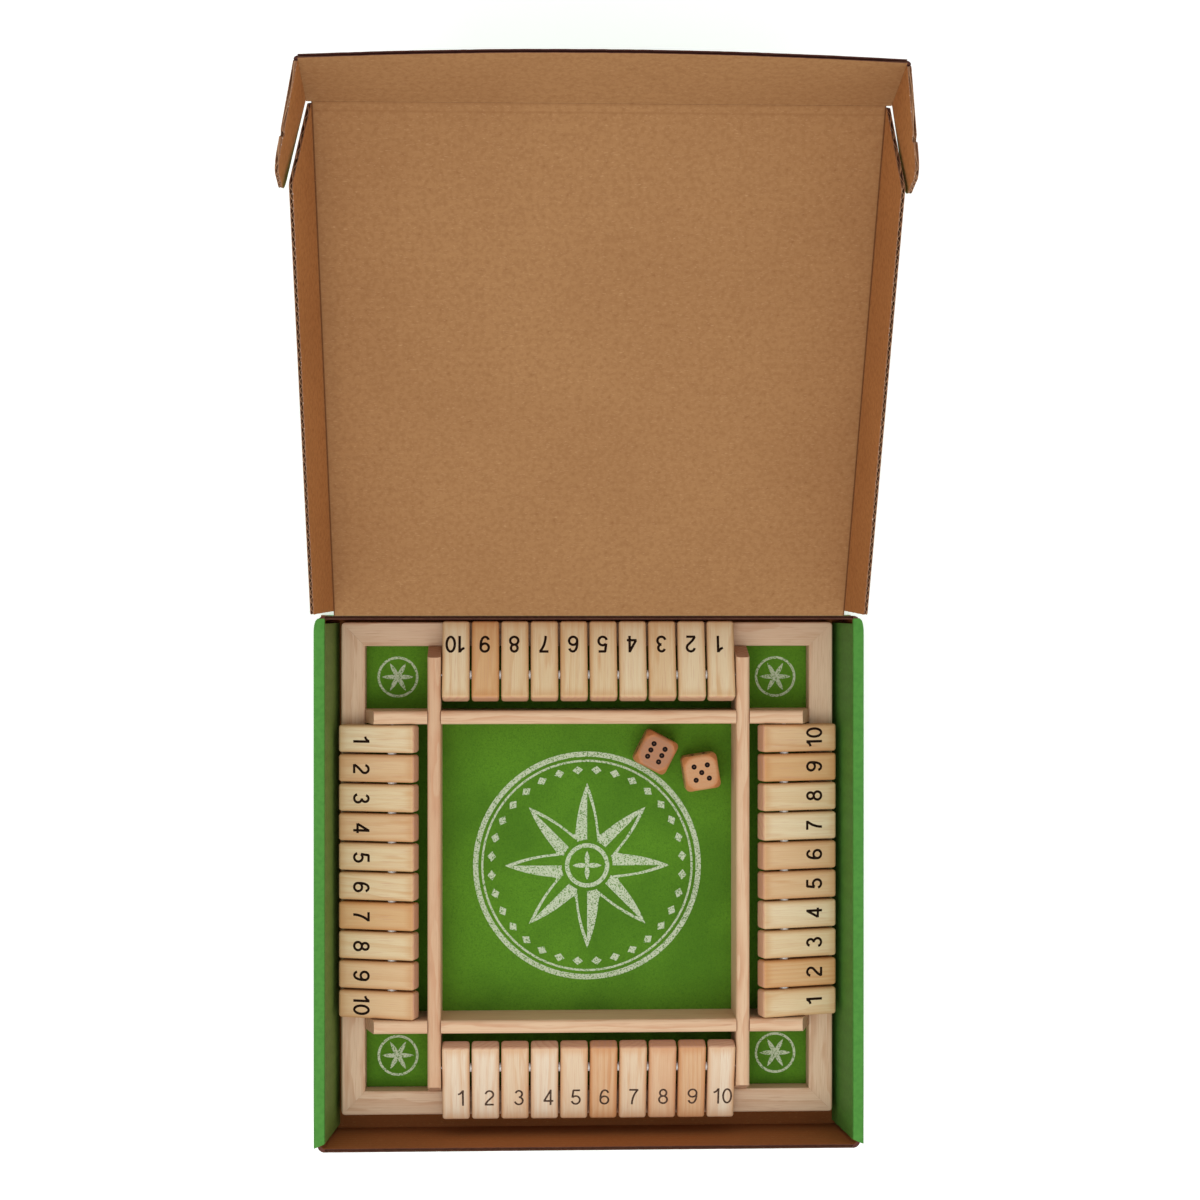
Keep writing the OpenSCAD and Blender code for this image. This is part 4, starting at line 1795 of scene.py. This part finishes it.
@dataclass
class TileRow:
    """One player's ten tiles, with their printed numbers."""

    side: Side
    numerals: Numerals
    count: int = 10
    digit_in: float = 8.5 * MM
    ink_lift: float = 0.002 * MM
    slide: tuple[float, ...] = (0.4,) * 10
    half: Point3 = (7.7 * MM, 22.5 * MM, 5.0 * MM)
    worn: float = 1.7 * MM
    end: Colour = srgb(200, 150, 124)
    heart_across: Point2 = (-0.022, 0.022)
    heart_below: Point2 = (0.004, 0.05)
    ring_mm: Point2 = (1.8, 4.2)
    lines: Point2 = (0.2, 0.5)
    wander_mm: Point2 = (2.0, 6.0)
    tilt: Point2 = (-0.05, 0.05)

    def axes(self, node: str) -> tuple[Vector, Matrix]:
        """Top middle of a tile, and its own axes.

        Args:
            node: The tile's node.

        Returns:
            The middle of its top face, and the axes to the right, to the centre of the game and up.
        """
        top = max(solids_of(node)[0].facets()[:6], key=lambda f: f.area * (f.normal.z > 0.5))
        z = top.normal.normalized()
        centre = middle_of(node)
        centre = centre + z * (top.centre - centre).dot(z)
        return centre, axes_of(-Vector(joint_of(node)["axis"]), z)

    def number(self, i: int, node: str, top: Matrix) -> None:
        """Prints a tile's number, as a film of ink on its top.

        Args:
            i: The number.
            node: The tile's node.
            top: Place of the middle of its top.
        """
        mesh = self.numerals.mesh(str(i))
        shift = Vector((self.slide[i - 1] * MM, -self.digit_in, self.ink_lift))
        mesh.transform(top @ Matrix.Translation(shift))
        add_piece(f"number_{self.side.value}_{i}", mesh, node, self.numerals.ink)

    def build(self) -> None:
        """Dresses the ten tiles and prints their numbers."""
        draw = random.Random(f"pine {self.side.value}")
        tones = FRONT_TONES if self.side is Side.FRONT else OTHER_TONES
        for i in range(1, self.count + 1):
            node = f"tile_{self.side.value}_{i}"
            centre, axes = self.axes(node)
            grain = Matrix((axes.col[1], -axes.col[0], axes.col[2])).transposed()
            pale, late = draw.choices(tones, weights=TONE_WEIGHTS)[0]
            heart = (draw.uniform(*self.heart_across), -draw.uniform(*self.heart_below))
            wood = Pine(f"pine_{node}", centre, grain, pale=pale, late=late, end=self.end, heart=heart,
                        ring=draw.uniform(*self.ring_mm) * MM, lines=draw.uniform(*self.lines),
                        wander=draw.uniform(*self.wander_mm) * MM, tilt=draw.uniform(*self.tilt),
                        half=(self.half[1], self.half[0]))
            block = tumbled(node, place_at(centre - axes.col[2] * self.half[2], axes), self.half, self.worn)
            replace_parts(add_piece(f"{node}_block", block, node, wood.material()), node)
            self.number(i, node, place_at(centre, axes))


@dataclass
class Game:
    """The wooden game: frame, base, felt, dividers, rods, washers, tiles and dice."""

    rail_width: float = 13.6 * MM
    felt_cells: int = 90
    felt_uneven_mm: float = 0.05
    fibre_density: float = 60000.0
    fibre_length: float = 1.3 * MM
    fibre_seed: int = 7
    die_worn: float = 2.2 * MM
    pip_area: Point2 = (6.2e-6, 7.3e-6)
    pip_corners: int = 12
    pip_sides: int = 24

    def build_frame(self) -> None:
        """Dresses the dividers, the rails, the base, the rods and the washers."""
        for name, turn, heart in (("front", ALONG_X, (0.02, -0.02)), ("back", ALONG_X, (-0.03, -0.03)),
                                  ("left", ALONG_Y, (0.01, -0.04)), ("right", ALONG_Y, (-0.02, -0.025))):
            node = f"divider_{name}"
            pale = srgb(212, 174, 138) if name == "left" else srgb(222, 188, 152)
            wood = Pine(f"pine_{node}", middle_of(node), turn, pale=pale, late=srgb(196, 140, 102),
                        heart=heart, lines=0.55, ring=2.6 * MM, wander=9.0 * MM)
            dress(node, wood.material())
        self.build_rails()
        ply = Plain("plywood", srgb(196, 162, 116), srgb(170, 132, 88), 0.7, scale=120.0)
        dress("base_board", ply.material())
        steel = Plain("drawn_steel", srgb(196, 196, 196), srgb(150, 150, 150), 0.3, 1.0)
        dress("hinge_rods", steel.material())
        clear = Plain("clear_washer", srgb(246, 247, 244), srgb(226, 228, 224), 0.25, transmission=0.2)
        dress("rod_washers", clear.material())

    def build_rails(self) -> None:
        """Builds the four mitred rails, each as a piece with its grain along itself."""
        low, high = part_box("felt_sheet")
        middle = Vector(((low.x + high.x) / 2, (low.y + high.y) / 2, high.z))
        for k, solid in enumerate(solids_of("frame_rails")):
            out = sum((v.co for v in solid.mesh.verts), Vector()) / len(solid.mesh.verts) - middle
            turn = ALONG_X if abs(out.y) > abs(out.x) else ALONG_Y
            wood = Pine(f"pine_rail_{k + 1}", middle + Vector((out.x, out.y, 0)), turn,
                        pale=srgb(222, 192, 160), late=srgb(190, 140, 102), heart=(0.01 * (k - 1.5), -0.03),
                        lines=0.6, ring=4.2 * MM, wander=10.0 * MM)
            mesh = finished(f"rail_{k + 1}", solid.mesh)
            piece = add_piece(f"rail_{k + 1}", mesh, "game", wood.material())
            if k == 0:
                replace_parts(piece, "frame_rails")

    def felt_top(self, low: Vector, high: Vector) -> Mesh:
        """Builds the felt's slightly uneven upper face.

        Args:
            low: The felt's lower corner.
            high: Its upper corner.

        Returns:
            The face, as a fine grid.
        """
        bm = bmesh.new()
        bmesh.ops.create_grid(bm, x_segments=self.felt_cells, y_segments=self.felt_cells, size=0.5)
        draw = random.Random("felt")
        for v in bm.verts:
            inner = max(abs(v.co.x), abs(v.co.y)) < 0.499
            v.co.x = (low.x + high.x) / 2 + v.co.x * (high.x - low.x)
            v.co.y = (low.y + high.y) / 2 + v.co.y * (high.y - low.y)
            v.co.z = high.z - (draw.uniform(0, self.felt_uneven_mm) * MM if inner else 0)
        return finished("felt_top", bm)

    def build_felt(self) -> None:
        """Lays the felt, with its print and loose fibres."""
        low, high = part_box("felt_sheet")
        top = self.felt_top(low, high)
        middle = middle_of("felt_sheet")
        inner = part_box("divider_right")[1].x
        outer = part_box("frame_rails")[1].x - self.rail_width
        printed = FeltPrint((middle.x, middle.y), (inner + outer) / 2 - middle.x)
        thing = linked("temporary", top.copy())
        solid = thing.modifiers.new("depth", "SOLIDIFY")
        solid.thickness = high.z - low.z
        solid.offset = -1
        sheet = add_piece("felt", evaluated_mesh(thing), "game", Felt("felt", printed).material())
        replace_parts(sheet, "felt_sheet")
        fibre = Plain("felt_fibre", srgb(104, 164, 48), srgb(70, 122, 26), 0.9)
        thing = linked("temporary", top)
        fuzz_tree(self.fibre_density, self.fibre_length, self.fibre_seed, fibre.material()).run(thing)
        loose = add_piece("felt_fibres", evaluated_mesh(thing), "game")

    def build_dice(self) -> None:
        """Dresses the dice and paints their pips."""
        black = Plain("pip_paint", srgb(28, 14, 10), srgb(14, 8, 6), 0.6, specular=0.1).material()
        drilled = Plain("pip_centre", srgb(112, 78, 58), srgb(74, 48, 36), 0.6, specular=0.1).material()
        for node, face in (("die_a", srgb(164, 114, 80)), ("die_b", srgb(198, 148, 102))):
            low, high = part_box(node)
            centre, half = (low + high) / 2, (high.z - low.z) / 2
            facets = solids_of(node)[0].facets()
            turn = axes_of(next(f.normal for f in facets if abs(f.normal.z) < 0.1), UPWARDS)
            block = tumbled(node, place_at(centre, turn), (half, half, half), self.die_worn)
            wood = BurnishedWood(f"wood_{node}", centre, turn, face).material()
            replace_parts(add_piece(f"{node}_block", block, node, wood), node)
            least, most = self.pip_area
            pips = [f for f in facets if least < f.area < most and len(f.corners) >= self.pip_corners]
            depth = half - max((f.centre - centre).dot(f.normal) for f in pips)
            paint = finished("pips", self.pip_paint(pips, depth), black, drilled)
            add_piece(f"{node}_pips", paint, node)
            log.info("%s has %d pips", node, len(pips))

    def pip_paint(self, floors: list[Facet], depth: float) -> BMesh:
        """Paint in the drilled pips: a shallow dish with a raised rim and a small drill point.

        Args:
            floors: The flat floors of the drilled pips.
            depth: How deep they are drilled.

        Returns:
            The working mesh of all the pips. The drill points have the second material.
        """
        rim = depth / MM - 0.04
        # radius and height above the floor, in millimetres
        profile = [(0.0, 0.16), (0.38, 0.12), (0.46, 0.06), (1.15, 0.1), (1.44, 0.22),
                   (1.49, rim), (1.497, rim), (1.497, 0.01), (0.0, 0.01)]
        turns = [math.tau * k / self.pip_sides for k in range(self.pip_sides)]
        bm = bmesh.new()
        for floor in floors:
            z = floor.normal.normalized()
            place = place_at(floor.centre, axes_of(z.orthogonal().normalized(), z))
            rings = []
            for r, h in profile:
                spots = [Vector((r * MM * math.cos(t), r * MM * math.sin(t), h * MM))
                         for t in (turns if r else turns[:1])]
                rings.append([bm.verts.new(place @ spot) for spot in spots])
            for n, (a, b) in enumerate(zip(rings, rings[1:])):
                for k in range(self.pip_sides):
                    corners = [a[k % len(a)], a[(k + 1) % len(a)], b[(k + 1) % len(b)], b[k % len(b)]]
                    bm.faces.new(list(dict.fromkeys(corners))).material_index = 1 if n == 0 else 0
        bmesh.ops.recalc_face_normals(bm, faces=bm.faces)
        return bm

    def build_tiles(self) -> None:
        """Builds the four rows of tiles."""
        fresh = Plain("number_ink", srgb(26, 14, 8), srgb(46, 30, 20), 0.8, specular=0.05)
        faded = Plain("worn_ink", srgb(66, 48, 38), srgb(104, 82, 68), 0.8, specular=0.08)
        black = Numerals(fresh.material(), pen=1.42 * MM)
        grey = Numerals(faded.material())
        TileRow(Side.FRONT, grey, slide=(2.7, 2.2, 2.2, 2.2, 1.1, 0.6, 0.6, 0.6, 0.6, 1.1)).build()
        for side in (Side.RIGHT, Side.BACK, Side.LEFT):
            TileRow(side, black).build()

    def build(self) -> None:
        """Builds the whole game."""
        self.build_frame()
        self.build_felt()
        self.build_tiles()
        self.build_dice()


# ---------------------------------------------------------------- the studio


@dataclass
class Studio:
    """Floor, light and camera."""

    eye: Vector = field(default_factory=lambda: Vector((-0.0443, 0.16025, 1.346)))
    aim: Point2 = (0.03858, -0.00257)
    lens_mm: float = 70.0
    sensor_mm: float = 36.0
    floor_half: float = 6.0
    floor_glow: float = 0.42
    surround: float = 0.75
    light_side: float = 1.4
    light_power: float = 16.0
    light_at: Vector = field(default_factory=lambda: Vector((-0.2, -0.75, 2.0)))
    light_aim: Vector = field(default_factory=lambda: Vector((0, 0.1, 0)))

    def camera(self) -> None:
        """Sets the camera at the photograph's place: nearly straight down, tipped slightly to the right."""
        data = bpy.data.cameras.new("camera")
        data.lens = self.lens_mm
        data.sensor_width = self.sensor_mm
        cam = linked("camera", data)
        back = -Vector((self.aim[0], self.aim[1], -1)).normalized()
        cam.matrix_world = place_at(self.eye, axes_of(BACKWARDS.cross(back).normalized(), back))
        bpy.context.scene.camera = cam

    def floor(self) -> None:
        """Lays a plain pale floor."""
        bm = bmesh.new()
        bmesh.ops.create_grid(bm, x_segments=1, y_segments=1, size=self.floor_half)
        g = Graph("floor_white")
        g.shader.inputs["Emission Color"].default_value = (1.0, 1.0, 1.0, 1.0)
        white = g.close((0.9, 0.9, 0.9, 1.0), 0.9, Emission_Strength=self.floor_glow)
        linked("floor", finished("floor", bm, white))

    def lights(self) -> None:
        """Hangs one large soft light to the front left, and an even white surround."""
        world = bpy.data.worlds.new("surround")
        world.use_nodes = True
        background = world.node_tree.nodes["Background"]
        background.inputs["Color"].default_value = (1.0, 1.0, 1.0, 1.0)
        background.inputs["Strength"].default_value = self.surround
        bpy.context.scene.world = world
        data = bpy.data.lights.new("soft_box", "AREA")
        data.shape = "SQUARE"
        data.size = self.light_side
        data.energy = self.light_power
        light = linked("soft_box", data)
        light.location = self.light_at
        light.rotation_euler = (self.light_at - self.light_aim).to_track_quat("Z", "Y").to_euler()

    def build(self) -> None:
        """Builds the studio."""
        self.camera()
        self.floor()
        self.lights()
        bpy.context.scene.view_settings.view_transform = "Standard"


def main() -> None:
    """Builds everything, in order."""
    Studio().build()
    Carton().build()
    Game().build()


if __name__ == "__main__":
    main()
